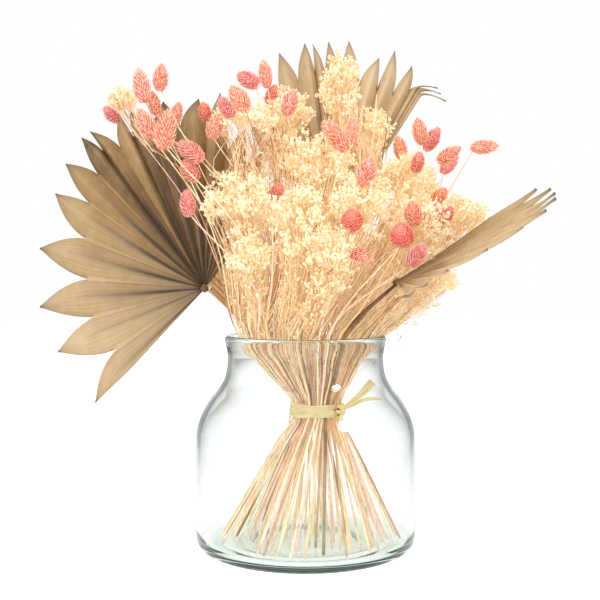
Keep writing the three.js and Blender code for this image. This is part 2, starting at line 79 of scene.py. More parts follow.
# Heights at which every stem follows the flow, and how a stem leaves it
WAIST = (TIE_Z - 30, TIE_Z, TIE_Z + 25)
LEAVE_GAP = 15
LEAVE_LEAST = 6

# Stems of one node stand at most this many rings apart
NEIGHBOUR = 1.2

# Turn between one and the next of many things set round a middle, in radians
GOLDEN_ANGLE = 2.399963

# Palm leaves: radius of the hub, reach of the leafstalk into the blade, and how far out it may stand
HUB_R = 3.6
GRIP = 6
STALK_LIMIT = 0.9

# Pleats: greatest height, and radius at which the bow is given
PLEAT_MAX = 9
BOW_R = 150

# Degrees below which a lobe's creases take a lower tone, painted shade in its tight folds, and below which it
# is folded more tightly
FULL_LOBE = 9
TIGHT_LOBE = 10

# Heights at which a leafstalk's thickness is given, below its hub, and between which its colour changes
STALK_Z = (10, 110, 170, 195)
STALK_TURNS = (178, 200)

# The knob where a blade meets its leafstalk: radius and height
KNOB = ((0, -2.4), (2, -2.2), (3.4, -1), (3.8, 0.5), (2.8, 1.8), (0, 2.4))
KNOB_SIDES = 42

PALMS = {
    "palm_leaf_left": {
        "hub": (-90, 31, 222), "out": (1, 0, 0), "side": (0, 0.1, 1), "neck": 2.3, "bark": 0.36,
        "cleft": 0.84, "steep": 0.85, "bow": -8, "edge": (5, 2),
        "tips": (
            (57, 84), (68, 134), (77, 149), (86, 181), (94, 175), (104.5, 177), (114, 178), (117.5, 180),
            (125.3, 180), (128.3, 180), (138.3, 172, 0.81), (149, 162, 0.795), (165.6, 154, 0.745),
            (185, 149, 0.706), (203.7, 142.7, 0.7), (225.5, 140, 0.69),
        ),
        "ages": (
            (85, 0.45), (100, 0.12), (112, 0.1), (118, 0.3),
            (127, 0.14), (138, 0.38), (165, 0.58), (205, 0.76),
        ),
    },
    "palm_leaf_back": {
        "hub": (27, 64, 272), "out": (1, 0, 0), "side": (0, 0.2, 1), "neck": 2.2, "bark": 0.36,
        "cleft": 0.81, "steep": 0.95, "bow": -6, "edge": (2, 5),
        "tips": (
            (59.2, 170, 0.93, -7.2), (60.3, 173, 0.93, -7), (61.5, 176, 0.93, -6.5), (64.6, 183, 0.89),
            (71, 192), (76.8, 180), (84.5, 193), (91.2, 192), (94.6, 191), (98.2, 192), (106.7, 187),
            (117, 150), (126, 130),
        ),
        "ages": ((60, 0.7), (72, 0.9), (88, 0.7), (100, 0.6), (126, 0.45)),
    },
    "palm_leaf_right": {
        "hub": (74, -53, 229.6), "out": (0.88, -0.05, 0.46), "side": (0.0169, -0.99, -0.11),
        "neck": 1.2, "bark": -0.2,
        "cleft": 0.7, "steep": 0.5, "bow": -9, "edge": (6, 6),
        "tips": (
            (-19, 150), (-6, 147), (7, 143), (18, 142), (29, 138), (41, 127), (54, 109), (67, 86),
            (80, 90, 0.8), (90, 92, 0.97),
        ),
        "ages": ((-19, 0.62), (30, 0.85), (90, 1.0)),
    },
}

# Canary grass heads as seen: foot x, z; tip x, z; depth; width
HEADS = (
    (-139, 383, -145, 415, -32, 14.7), (-126, 393, -123, 417, -24, 12.1),
    (-127, 371, -133, 393, -2, 10.4), (-162, 367, -170, 376, 0, 10),
    (-132, 352, -145, 380, -35, 13.8), (-123, 342, -118, 380, -74, 16.4),
    (-114, 363, -107, 383, -13, 10.2), (-89, 333, -111, 349, -46, 15.5),
    (-94, 316, -105, 332, -37, 13), (-101, 285, -101, 308, -69, 11.5),
    (-85, 367, -87, 381, -12, 10), (-82, 352, -72, 374, -22, 13.8),
    (-63, 370, -73, 386, -48, 12.1), (-51, 376, -65, 398, -70, 14.7),
    (-41, 398, -59, 405, -18, 13.8), (-33, 396, -37, 422, -6, 11.2),
    (-32, 380, -25, 396, 12, 11), (-17, 372, -9, 394, -48, 13),
    (36, 342, 13, 369, -72, 14.7), (40, 346, 41, 374, -32, 11.2),
    (49, 312, 57, 336, -96, 14.7), (41, 276, 38, 288, -112, 16.4),
    (-29, 301, -19, 310, -80, 10.4), (38, 254, 56, 248, -97, 10.4),
    (101, 347, 95, 371, -22, 12.1), (104, 342, 114, 361, 12, 12.1),
    (84, 333, 78, 355, 18, 11.2), (114, 332, 134, 344, -14, 11),
    (143, 344, 169, 346, 4, 12.1), (95, 323, 97, 339, -34, 10.4),
    (94, 276, 90, 299, -84, 13.8), (85, 262, 78, 276, -106, 18),
    (103, 273, 112, 296, -47, 15.5), (109, 295, 120, 308, -36, 11.2),
    (116, 277, 124, 293, -40, 11.2), (89, 242, 104, 262, -88, 13),
    (106, 236, 120, 243, -11, 10.4), (-66, 330, -80, 352, 62, 13),
    (-24, 290, -38, 308, 112, 14), (58, 318, 62, 342, 112, 14),
    (118, 322, 132, 342, 58, 13), (92, 268, 106, 286, 96, 13),
    (30, 376, 34, 399, 58, 12), (126, 270, 135, 290, 78, 12),
)

# Seeds of the random draws, and the range of a random angle in radians
TIE_SEED = 11
GRASS_SEED = 100
BROOM_SEED = 500
ANY_TURN = 6.28

# Points along a leafstalk, a stem of grass, a stem of broom, a stem that twigs leave, and the bent stem
STALK_POINTS = 40
GRASS_POINTS = 30
BROOM_POINTS = 17
ROUTE_POINTS = 60
STRAY_POINTS = 18

# Heights at which the thickness of a stem of grass and of broom is given
GRASS_Z = (0, 180, 300, 420)
BROOM_Z = (0, 150, 200, 260)

# Heads: least length and how much it varies, least width, and how far below its head a stem leaves the bunch
HEAD_LENGTH = 24
HEAD_VARIES = 3
HEAD_WIDTH = 10
HEAD_DROP = 70

# Sprays of broom in pairs, each x, z of the middle as seen, depth, half width and half height
BROOMS = (
    ((-58, 295, -50, 29, 26), (-46, 247, -66, 18, 20)),
    ((-52, 366, -6, 30, 19), (-159, 384, 4, 14, 13)),
    ((-12, 375, 8, 24, 22), (-66, 312, 40, 25, 17)),
    ((27, 397, 12, 18, 29), (57, 359, 22, 18, 21)),
    ((11, 331, -45, 31, 23), (-5, 286, -86, 28, 24)),
    ((47, 297, -82, 27, 26), (20, 256, -98, 21, 18)),
    ((80, 318, -13, 23, 21), (103, 282, -48, 25, 23)),
    ((136, 285, -5, 22, 17), (110, 229, 18, 23, 15)),
    ((-84, 240, 60, 22, 18), (-14, 258, 98, 25, 20)),
    ((24, 298, 112, 27, 24), (74, 260, 92, 24, 20)),
    ((88, 312, 72, 27, 24), (130, 287, 44, 22, 18)),
)

# Sprays unlike the rest: share of the twigs, share of the florets, length of the twigs
HABITS = {
    (8, 0): (1.2, 0, 100),
    (2, 1): (0.5, 0.8, 60),
    (1, 0): (0.5, 1, 60),
    (2, 0): (0.75, 1, 105),
    (1, 1): (0.45, 1, 42),
}
PLAIN_HABIT = (1, 1, 130)

# Twigs longer than this are long. Above this height, a spray with long twigs has some that end lower.
LONG_REACH = 100
TRAIL_Z = 250
TWIG_POINTS = 9

# Tones that the stems are drawn from: canary grass, broom's main stems, thinner ones beside them, and twigs
GRASS_TONES = (0.1, 0.4, 0.5, 0.66, 0.8, 1.0)
MAIN_TONES = (0.1, 0.3, 0.5, 0.62, 0.75, 0.88, 1.0, 1.0)
STRAND_TONES = (0, 0.06, 0.14, 0.25, 0.4, 0.55, 0.78, 1.0)
TWIG_TONES = (0.14, 0.35, 0.5, 0.6, 0.7, 0.78, 0.85)

# A thin bent stem that hangs over the rim, in the piece with this index
STRAY_NODE = 7
STRAY = ((48, -14, 160), (60, -18, 181), (66, -19.5, 187), (74, -20, 190), (80, -20, 171))

# The glass from the middle of the underside up round the lip and down to the middle of the floor
GLASS_OUTSIDE = (
    (0, 2.4), (42, 2.4), (46.5, 0.4), (49, 0), (84, 0), (91.5, 3.4), (95, 12), (95, 93), (92.6, 108),
    (84, 126), (72, 140), (67.6, 151), (67, 166), (68.2, 172), (69.3, 177), (69.5, 180.6), (67.8, 182.5),
)
GLASS_INSIDE = (
    (65.3, 182.5), (63.8, 180), (63.4, 176), (63.4, 151), (68.6, 137.5), (80.2, 124), (88.6, 107), (91, 91),
    (91, 16), (88.5, 9.6), (83, 6.8), (76, 7.2), (66, 9), (0, 9),
)

# The raffia band: radius of its turns, half the height between the outer ones, half a strip's width and depth
BAND_R = 21.3
BAND_HALF = 2.9
STRIP_HALF = 2.0
STRIP_DEPTH = 0.42
KNOT = (29.4, -16.8, 119.2)

# Loops of the knot: tilt, half depth, half height, and half width of the strip
KNOT_LOOPS = ((0.25, 2.9, 5.6, 2.2), (-0.5, 3.3, 4.6, 1.9), (1.35, 2.6, 3.6, 1.6))

# Loose ends: route, half widths along it, and twist
LOOSE_ENDS = (
    (((30, -16.5, 119.5), (38, -18, 125), (48, -19, 133.5), (56, -20, 143.5)), (1.3, 1.9, 3.1, 3.8), 0.25),
    (((30, -17, 120), (41, -18.5, 124.5), (53, -19, 128.5), (64, -18, 128.5)), (1.1, 1.3, 1.4, 0.8), -0.3),
    (((29.5, -17.5, 118), (30, -20.5, 113), (27, -23, 109.5)), (1.0, 1.2, 1.0), 0.2),
    (((30, -16.5, 119.5), (37, -18.5, 124), (45, -20, 129), (52, -21, 137)), (0.9, 1.2, 1.3, 0.9), 0.5),
)
END_POINTS = 26

# The studio in metres: the floor's radius, and the lamps' size, place, aim and share of the power
FLOOR_R = 4.0
LAMP_SIZE = 0.42
LAMP_PLACE = (1.15, -1.05, 1.25)
LAMP_AIM_Z = 0.25
LAMP_SHARES = ((-1, 1.0), (1, 0.85))


# Settings


def colour_property(name, description, default):
    """A colour that a user can change."""
    return FloatVectorProperty(name=name, description=description, subtype="COLOR", default=default)


def length_property(name, description, default):
    """A length in metres that a user can change."""
    words = {"name": name, "description": description}
    return FloatProperty(default=default, unit="LENGTH", subtype="DISTANCE", **words)


class VaseSettings(bpy.types.PropertyGroup):
    """Sizes and colours of the glass vase."""

    sides: IntProperty(name="Sides", description="Facets round the vase", default=128, min=24, max=256)
    tint: colour_property("Tint", "Colour that thick glass takes", (0.24, 0.5, 0.42))
    depth: FloatProperty(name="Tint depth", description="How strongly a metre of glass tints", default=19.0)


class StemSettings(bpy.types.PropertyGroup):
    """Sizes and colours of the stems."""

    radius: length_property("Stem radius", "Radius of a thick stem", 0.00105)
    fine: length_property("Twig radius", "Radius of a fine twig", 0.00034)
    rust: colour_property("Rust", "Darkest stems", (0.24, 0.115, 0.045))
    peach: colour_property("Peach", "Warm stems", (0.94, 0.6, 0.35))
    straw: colour_property("Straw", "Most stems", (0.96, 0.75, 0.46))
    cream: colour_property("Cream", "Pale stems", (0.97, 0.87, 0.63))
    blush: colour_property("Blush", "Pink stems", (0.96, 0.68, 0.56))
    # Painted light: the stems glow in their own colour, standing in for the light that thin dry stems let
    # through
    glow: FloatProperty(name="Glow", description="Light that thin dry stems let through", default=0.17)


class BroomSettings(bpy.types.PropertyGroup):
    """Number, size and colours of the broom's florets."""

    twigs: IntProperty(name="Twigs", description="Fine twigs in each spray", default=100, min=20, max=200)
    florets: IntProperty(name="Florets", description="Florets on each twig", default=24, min=4, max=40)
    size: length_property("Floret radius", "Radius of a floret", 0.00112)
    # Gold goes to florets of low tone: painted shade deep inside a spray and far back on a stalk
    gold: colour_property("Gold", "Inner florets", (0.82, 0.61, 0.34))
    cream: colour_property("Cream", "Most florets", (0.9, 0.76, 0.52))
    ivory: colour_property("Ivory", "Outer florets", (0.96, 0.9, 0.76))
    # Painted light: the florets glow in their own colour, standing in for the light that thin petals let
    # through
    glow: FloatProperty(name="Glow", description="Light that thin petals let through", default=0.2)


class GrassSettings(bpy.types.PropertyGroup):
    """Number and colours of the canary grass scales."""

    scales: IntProperty(name="Scales", description="Scales on each head", default=200, min=30, max=240)
    # Coral goes to low tones: painted shade at the scales' feet and on the core, in the gaps between scales
    coral: colour_property("Coral", "Foot of a scale", (0.79, 0.21, 0.19))
    pink: colour_property("Pink", "Middle of a scale", (0.9, 0.35, 0.33))
    pale: colour_property("Pale", "Tip of a scale", (0.98, 0.74, 0.7))
    salmon: colour_property("Salmon", "Colour that the warmest heads turn to", (1.0, 1.04, 0.74))
    # Painted light: the scales glow in their own colour, standing in for the light that thin scales let
    # through
    glow: FloatProperty(name="Glow", description="Light that thin scales let through", default=0.08)


class PalmSettings(bpy.types.PropertyGroup):
    """Thickness and colours of the palm leaves."""

    thickness: length_property("Blade thickness", "Thickness of a leaf", 0.0007)
    umber: colour_property("Umber", "Oldest lobes", (0.16, 0.095, 0.04))
    tan: colour_property("Tan", "Most of the leaf", (0.38, 0.24, 0.1))
    pale: colour_property("Pale", "Young lobes", (0.66, 0.49, 0.295))
    # Dark also goes to the palm's painted shade, a wedge down each lobe and the darkening near the hub;
    # besides that it is the tips' own colour, the blemishes and the darkest part of the leafstalks
    dark: colour_property("Dark", "Creases and tips", (0.04, 0.022, 0.01))
    stalk: colour_property("Leafstalk", "Leafstalks", (0.4, 0.2, 0.075))


class TieSettings(bpy.types.PropertyGroup):
    """Sizes and colours of the raffia tie."""

    turns: IntProperty(name="Turns", description="Turns of raffia", default=5, min=2, max=9)
    pale: colour_property("Pale", "Crests of the fibre", (1.0, 0.8, 0.42))
    deep: colour_property("Deep", "Grooves of the fibre", (0.74, 0.48, 0.17))


class StageSettings(bpy.types.PropertyGroup):
    """Light of the studio."""

    backdrop: FloatProperty(name="Backdrop", description="Brightness of the backdrop", default=1.0)
    fill: FloatProperty(name="Fill", description="Soft light from all round", default=0.95)
    key: FloatProperty(name="Key", description="Power of each lamp", default=13.0, subtype="POWER")
    glow: FloatProperty(name="Floor glow", description="Light of the floor itself", default=0.32)
    gloom: FloatProperty(name="Gloom", description="Brightness of the room beside the backdrop", default=0.38)

    def shades(self):
        """Brightness of the room, as the glass sees it, from behind the eye round to the backdrop."""
        return (0.0, 0.85), (0.45, 0.8), (0.75, 0.62), (0.9, self.gloom), (0.955, self.gloom), (0.985, 1.0)


# Layout of the bunch


def noise(i):
    s = math.sin(i * 12.9898 + 4.1) * 43758.5453
    return s - math.floor(s)


def unit(v):
    v = np.asarray(v, float)
    return v / np.linalg.norm(v, axis=-1, keepdims=True)


def seen(x, z, y):
    """Where something seen at x, z in the plane of the axis lies when it is y behind that plane."""
    k = (EYE + y) / EYE
    return np.array([x * k, y, EYE_Z + (z - EYE_Z) * k])


def flow(z):
    """The bunch's middle at height z, and the complex factor that places a cell there."""
    i = 0
    while i < len(STATIONS) - 2 and z > STATIONS[i + 1][0]:
        i += 1
    (za, sa, ta, xa), (zb, sb, tb, xb) = STATIONS[i], STATIONS[i + 1]
    t = (z - za) / (zb - za)
    factor = complex(
        (1 - t) * sa * math.cos(math.radians(ta)) + t * sb * math.cos(math.radians(tb)),
        (1 - t) * sa * math.sin(math.radians(ta)) + t * sb * math.sin(math.radians(tb)),
    )
    return (1 - t) * xa + t * xb, factor


def place(cell, z):
    middle, factor = flow(z)
    p = middle + factor * cell
    return np.array([p.real, p.imag, z])


def cell_of(p):
    """The place in the tied bunch whose stem would pass through p, and whether p lies outside the bunch."""
    middle, factor = flow(p[2])
    cell = complex(p[0] - middle, p[1]) / factor
    over = max(1, abs(cell))
    return cell / over, over > 1


def wish_for(p):
    cell, outside = cell_of(p)
    return (cell_of((p[0], p[1], LEAVE_Z))[0], True) if outside else (cell, False)


def path_to(cell, leave, end):
    """A stem's path: with the flow up to height leave, then to its end."""
    path = [place(cell, z) for z in (STATIONS[0][0], *WAIST, RIM_Z)]
    path += [place(cell, z) for z, *_ in STATIONS[3:] if z < leave - LEAVE_GAP]
    if leave > RIM_Z + LEAVE_LEAST and leave < end[2]:
        path.append(place(cell, leave))
    return path + [np.asarray(end, float)]


class Layout:
    """Where every stem of the bunch runs. Cells are shared out in one order, so no two stems meet."""

    def __init__(self):
        self.free = []
        for k in range(RINGS + 1):
            for j in range(max(1, 6 * k)):
                a = (j + 0.5 * (k % 2)) / max(1, 6 * k) * 2 * math.pi
                self.free.append(complex(k / RINGS * math.cos(a), k / RINGS * math.sin(a)))
        self.palms = {name: self.palm(leaf) for name, leaf in PALMS.items()}
        self.brooms = [self.broom(rows, i) for i, rows in enumerate(BROOMS)]
        self.heads = [self.head(row, i) for i, row in enumerate(HEADS)]

    def take(self, wish, limit=2.0):
        cell = min((c for c in self.free if abs(c) < limit), key=lambda c: abs(c - wish))
        self.free.remove(cell)
        return cell

    def palm(self, leaf):
        cell = self.take(cell_of(leaf["hub"])[0], STALK_LIMIT)
        self.free = [c for c in self.free if abs(c - cell) * TIE_R >= CLEAR]
        return path_to(cell, RIM_Z, np.array(leaf["hub"]) + unit(leaf["out"]) * GRIP)

    def broom(self, rows, index):
        aims = [seen(x, z, y) for x, z, y, _, _ in rows]
        wishes = [wish_for(aim) for aim in aims]
        centre = (wishes[0][0] + wishes[1][0]) / 2
        order = sorted(self.free, key=lambda c: abs(c - centre))
        own = []
        for start in order:
            own = [start]
            while len(own) < SPRAY_STEMS:
                near = [c for c in order if c not in own and min(abs(o - c) for o in own) < NEIGHBOUR / RINGS]
                if not near:
                    break
                own.append(near[0])
            if len(own) == SPRAY_STEMS:
                break
        self.free = [c for c in self.free if c not in own]
        own.sort(key=lambda c: abs(c - wishes[0][0]) - abs(c - wishes[1][0]))
        half = math.ceil(len(own) / 2)
        sprays = []
        for s, (_, _, _, wide, high) in enumerate(rows):
            aim, (_, outside) = aims[s], wishes[s]
            mine = own[:half] if s == 0 else own[half:]
            ends = [place(c, aim[2] + high * (0.1 + 0.35 * noise(i + aim[0]))) for i, c in enumerate(mine)]
            middle = np.mean(ends, axis=0)
            shift = (aim - middle) * (1, 1, 0) * outside
            paths = [path_to(c, LEAVE_Z if outside else e[2], e + shift) for c, e in zip(mine, ends)]
            at = aim + (middle + shift - aim) * 0.2
            at[2] = aim[2]
            sprays.append({
                "cells": mine, "paths": paths, "at": at, "wide": wide, "high": high, "outside": outside,
                "habit": HABITS.get((index, s), PLAIN_HABIT),
            })
        return sprays

    def head(self, row, index):
        x0, z0, x1, z1, y, width = row
        foot, tip = seen(x0, z0, y), seen(x1, z1, y)
        flat = np.linalg.norm(tip - foot)
        full = HEAD_LENGTH + HEAD_VARIES * noise(index)
        if flat < full:
            tip[1] -= math.sqrt(full * full - flat * flat)
        cell = self.take(wish_for(foot)[0])
        leave = max(RIM_Z, min(foot[2] - HEAD_DROP, LEAVE_Z))
        path = path_to(cell, leave, foot + (tip - foot) * 0.12)
        return {"cell": cell, "path": path, "foot": foot, "tip": tip, "width": max(width, HEAD_WIDTH)}


# Mesh code


def smooth(path, count):
    """A smooth curve through a path's points, as count points."""
    path = np.asarray(path, float)
    at = np.concatenate([[0], np.cumsum(np.linalg.norm(np.diff(path, axis=0), axis=1))])
    slope = np.gradient(path, at, axis=0)
    t = np.linspace(0, at[-1], count)
    i = np.clip(np.searchsorted(at, t, side="right") - 1, 0, len(at) - 2)
    h = (at[i + 1] - at[i])[:, None]
    s = (t - at[i])[:, None] / h
    return (
        (2 * s**3 - 3 * s**2 + 1) * path[i]
        + (s**3 - 2 * s**2 + s) * h * slope[i]
        + (3 * s**2 - 2 * s**3) * path[i + 1]
        + (s**3 - s**2) * h * slope[i + 1]
    )


def beside(path, offset):
    """The same path moved by an offset in the bunch's own measure, so it opens out with the bunch."""
    moved = []
    for p in path:
        step = flow(p[2])[1] * offset
        moved.append(p + (step.real, step.imag, 0))
    return moved


def frames(directions, rng):
    """Turned frames whose third axis is each direction."""
    w = unit(directions)
    ref = np.where(np.abs(w[:, 2:3]) < 0.9, [[0.0, 0.0, 1.0]], [[1.0, 0.0, 0.0]])
    u = unit(np.cross(ref, w))
    v = np.cross(w, u)
    a = rng.uniform(0, 2 * math.pi, (len(w), 1))
    return np.stack([u * np.cos(a) + v * np.sin(a), v * np.cos(a) - u * np.sin(a), w], axis=1)


class Shape:
    """Gathers a piece's mesh in millimetres, with a tone and leaf coordinates at every point."""

    def __init__(self):
        self.points, self.tones, self.leaf, self.faces = [], [], [], []
        self.count = 0

    def add(self, points, faces, tone=0.5, leaf=(0, 0, 0), material=0, even=True):
        points = np.asarray(points, float).reshape(-1, 3)
        n = len(points)
        self.points.append(points)
        self.tones.append(np.broadcast_to(np.asarray(tone, float), (n,)))
        self.leaf.append(np.broadcast_to(np.asarray(leaf, float), (n, 3)))
        for f in faces:
            self.faces.append((np.asarray(f, int) + self.count, material, even))
        self.count += n

    def tubes(self, paths, radii, sides, tone, material=0):
        """Closed tubes along many paths at once: paths by strand and point, radii the same."""
        paths = np.asarray(paths, float)
        s, p, _ = paths.shape
        radii = np.broadcast_to(np.asarray(radii, float), (s, p))
        along = unit(np.gradient(paths, axis=1))
        mean = np.abs(unit(paths[:, -1] - paths[:, 0]))
        ref = np.where(mean[:, 0:1] < 0.8, [[1.0, 0.0, 0.0]], [[0.0, 1.0, 0.0]])[:, None]
        u = unit(ref - along * np.sum(ref * along, axis=2, keepdims=True))
        v = np.cross(along, u)
        a = np.arange(sides) / sides * 2 * math.pi
        ring = np.cos(a)[:, None] * u[:, :, None] + np.sin(a)[:, None] * v[:, :, None]
        points = paths[:, :, None] + ring * radii[:, :, None, None]
        index = np.arange(s * p * sides).reshape(s, p, sides)
        turned = np.roll(index, -1, axis=2)
        quads = np.stack([index[:, :-1], turned[:, :-1], turned[:, 1:], index[:, 1:]], axis=-1).reshape(-1, 4)
        tone = np.repeat(np.broadcast_to(np.asarray(tone, float).reshape(-1), (s,)), p * sides)
        self.add(points, [quads, index[:, 0, ::-1], index[:, -1]], tone, material=material)

    def stamp(self, shape, faces, axes, sizes, centres, tone, lift, material=0, leaf=(0, 0, 0)):
        """Copies of a small closed shape with their own axes, sizes and centres. Tones rise by lift."""
        shape = np.asarray(shape, float)
        local = shape[None] * np.asarray(sizes, float).reshape(len(centres), 1, -1)
        points = np.einsum("nvk,nkx->nvx", local, axes) + centres[:, None]
        n, v = len(centres), len(shape)
        index = (np.arange(n) * v)[:, None, None] + np.asarray(faces)[None]
        tones = np.asarray(tone, float).reshape(-1, 1) + np.asarray(lift, float)[None]
        self.add(points, [index.reshape(-1, index.shape[-1])], tones.ravel(), leaf, material, even=False)

    def ribbon(self, path, facing, width, thickness, tone, closed=False, grooves=5):
        """A grooved flat strip that looks along facing, with width and thickness to each side of its path."""
        path, facing = np.asarray(path, float), np.asarray(facing, float)
        n = len(path)
        if closed:
            along = unit(np.roll(path, -1, axis=0) - np.roll(path, 1, axis=0))
        else:
            along = unit(np.gradient(path, axis=0))
        facing = unit(facing - along * np.sum(facing * along, axis=1, keepdims=True))
        over = np.cross(along, facing)
        k = 2 * grooves + 1
        x = np.linspace(-1, 1, k)
        crest = np.where(np.arange(k) % 2, 1.0, 0.35) * (1 - 0.6 * x**4)
        x = np.concatenate([x, x[::-1]])
        y = np.concatenate([crest, -crest[::-1]])
        width = np.broadcast_to(np.asarray(width, float), (n,))[:, None, None]
        points = path[:, None] + over[:, None] * x[:, None] * width + facing[:, None] * y[:, None] * thickness
        index = np.arange(n * 2 * k).reshape(n, 2 * k)
        ahead = np.roll(index, -1, axis=0) if closed else index[1:]
        here = index if closed else index[:-1]
        quads = np.stack([here, ahead, np.roll(ahead, -1, axis=1), np.roll(here, -1, axis=1)], axis=-1)
        faces = [quads.reshape(-1, 4)]
        if not closed:
            faces += [index[:1], index[-1:, ::-1]]
        leaf = np.zeros((n, 2 * k, 3))
        leaf[..., 0] = x
        leaf[..., 1] = np.linspace(0, 1, n)[:, None]
        leaf[..., 2] = tone
        self.add(points, faces, tone, leaf.reshape(-1, 3))

    def build(self, name, materials, node):
        """Makes the object, in metres, in place of a node."""
        mesh = bpy.data.meshes.new(name)
        points = np.concatenate(self.points) * MM
        loops = np.concatenate([f.ravel() for f, _, _ in self.faces])
        sizes = np.concatenate([np.full(len(f), f.shape[1]) for f, _, _ in self.faces])
        mesh.vertices.add(len(points))
        mesh.vertices.foreach_set("co", points.ravel())
        mesh.loops.add(len(loops))
        mesh.loops.foreach_set("vertex_index", loops)
        mesh.polygons.add(len(sizes))
        mesh.polygons.foreach_set("loop_start", np.concatenate([[0], np.cumsum(sizes)[:-1]]))
        for field, k in (("material_index", 1), ("use_smooth", 2)):
            values = np.concatenate([np.full(len(row[0]), row[k]) for row in self.faces])
            mesh.polygons.foreach_set(field, values)
        tone = mesh.attributes.new("tone", "FLOAT", "POINT")
        tone.data.foreach_set("value", np.clip(np.concatenate(self.tones), 0, 1))
        leaf = mesh.attributes.new("leaf", "FLOAT_VECTOR", "POINT")
        leaf.data.foreach_set("vector", np.concatenate(self.leaf).ravel())
        mesh.update(calc_edges=True)
        for material in materials:
            mesh.materials.append(material)
        obj = bpy.data.objects.new(name, mesh)
        bpy.context.scene.collection.objects.link(obj)
        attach(obj, "root")
        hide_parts(node)


def lathe(
    shape, profile, sides, tone=0.5, centre=(0, 0, 0), axes=np.eye(3), ripple=None, material=0,
    leaf=(0, 0, 0),
):
    """A turned body from its profile of radius and height, which starts and ends on the axis."""
    profile = np.asarray(profile, float)
    a = np.arange(sides) / sides * 2 * math.pi
    inner = profile[1:-1]
    swell = 1 if ripple is None else ripple(a)
    ring = np.stack([np.cos(a) * swell, np.sin(a) * swell], axis=1)
    flat = inner[:, None, :1] * ring[None]
    heights = np.broadcast_to(inner[:, None, 1:], (len(inner), sides, 1))
    local = np.concatenate([flat, heights], axis=2).reshape(-1, 3)
    local = np.concatenate([local, [[0, 0, profile[0][1]], [0, 0, profile[-1][1]]]])
    index = np.arange(len(inner) * sides).reshape(len(inner), sides)
    turned = np.roll(index, -1, axis=1)
    quads = np.stack([index[:-1], turned[:-1], turned[1:], index[1:]], axis=-1).reshape(-1, 4)
    low, high = len(local) - 2, len(local) - 1
    first = np.stack([np.full(sides, low), turned[0], index[0]], axis=1)
    last = np.stack([np.full(sides, high), index[-1], turned[-1]], axis=1)
    shape.add(local @ np.asarray(axes) + centre, [quads, first, last], tone, leaf, material)


def rounded(profile, rounds):
    """Rounds a profile by cutting its corners, its two ends kept."""
    points = np.asarray(profile, float)
    for _ in range(rounds):
        a, b = points[:-1], points[1:]
        cut = np.stack([a * 0.75 + b * 0.25, a * 0.25 + b * 0.75], axis=1).reshape(-1, 2)
        points = np.concatenate([points[:1], cut[1:-1], points[-1:]])
    return points


def thicken(points, faces, thickness):
    """A closed sheet from one face's points and quads."""
    p, q, r, s = (points[faces[:, k]] for k in range(4))
    normal = np.cross(r - p, s - q)
    at = np.zeros_like(points)
    for k in range(4):
        np.add.at(at, faces[:, k], normal)
    at = unit(at + 1e-12)
    count = len(points)
    edges = np.concatenate([faces[:, [k, (k + 1) % 4]] for k in range(4)])
    known = set(map(tuple, edges))
    rim = np.array([(a, b) for a, b in known if (b, a) not in known])
    rim = rim[np.lexsort(rim.T)]
    walls = np.stack([rim[:, 0], rim[:, 0] + count, rim[:, 1] + count, rim[:, 1]], axis=1)
    both = np.concatenate([points + at * thickness / 2, points - at * thickness / 2])
    return both, [faces, faces[:, ::-1] + count, walls]


# Materials


class Finish:
    """A material under construction round its Principled shader."""

    def __init__(self, name, roughness=0.8, **values):
        self.material = bpy.data.materials.new(name)
        self.material.use_nodes = True
        self.tree = self.material.node_tree
        self.shader = self.tree.nodes["Principled BSDF"]
        self.output = self.tree.nodes["Material Output"]
        self.shader.inputs["Roughness"].default_value = roughness
        for key, value in values.items():
            self.shader.inputs[key.replace("_", " ")].default_value = value

    def to(self, socket, name):
        self.tree.links.new(socket, self.shader.inputs[name])

    def glow(self, colour, strength):
        """Painted light: the piece glows in its own colour, standing in for the light that a thin dry piece
        lets through.
        """
        self.to(colour, "Emission Color")
        self.shader.inputs["Emission Strength"].default_value = strength


def feed(tree, socket, value):
    """Links a socket to an input, or sets the input to a plain value."""
    if isinstance(value, bpy.types.NodeSocket):
        tree.links.new(value, socket)
    else:
        socket.default_value = value


def node(tree, kind, settings=(), **inputs):
    """Adds a node with its inputs, which go by name, or by number as i0, i1 and so on."""
    made = tree.nodes.new(kind)
    for key, value in dict(settings).items():
        setattr(made, key, value)
    for key, value in inputs.items():
        numbered = key[0] == "i" and key[1:].isdigit()
        feed(tree, made.inputs[int(key[1:]) if numbered else key.replace("_", " ")], value)
    return made


def maths(tree, operation, a, b=0.0):
    return node(tree, "ShaderNodeMath", {"operation": operation}, i0=a, i1=b).outputs[0]


def times(tree, a, b):
    return maths(tree, "MULTIPLY", a, b)


def plus(tree, a, b):
    return maths(tree, "ADD", a, b)


def minus(tree, a, b):
    return maths(tree, "SUBTRACT", a, b)


def kept(tree, value, low, high):
    """A value kept between a low and a high one."""
    return maths(tree, "MINIMUM", maths(tree, "MAXIMUM", value, low), high)


def clouds(tree, at, scale, detail=2.0, roughness=0.5):
    """Soft noise from 0 to 1."""
    made = node(tree, "ShaderNodeTexNoise", Vector=at, Scale=scale, Detail=detail, Roughness=roughness)
    return made.outputs["Fac"]


def mix(tree, factor, a, b, blend="MIX"):
    made = node(tree, "ShaderNodeMix", {"data_type": "RGBA", "blend_type": blend})
    for name, value in (("Factor_Float", factor), ("A_Color", a), ("B_Color", b)):
        socket = next(s for s in made.inputs if s.identifier == name)
        plain = name == "Factor_Float" or isinstance(value, bpy.types.NodeSocket)
        feed(tree, socket, value if plain else (*value, 1))
    return next(s for s in made.outputs if s.identifier == "Result_Color")


def ramp(tree, factor, stops):
    made = node(tree, "ShaderNodeValToRGB", Fac=factor)
    bar = made.color_ramp.elements
    while len(bar) < len(stops):
        bar.new(0.5)
    for element, (at, colour) in zip(bar, stops):
        element.position = at
        element.color = (*colour, 1)
    return made.outputs["Color"]


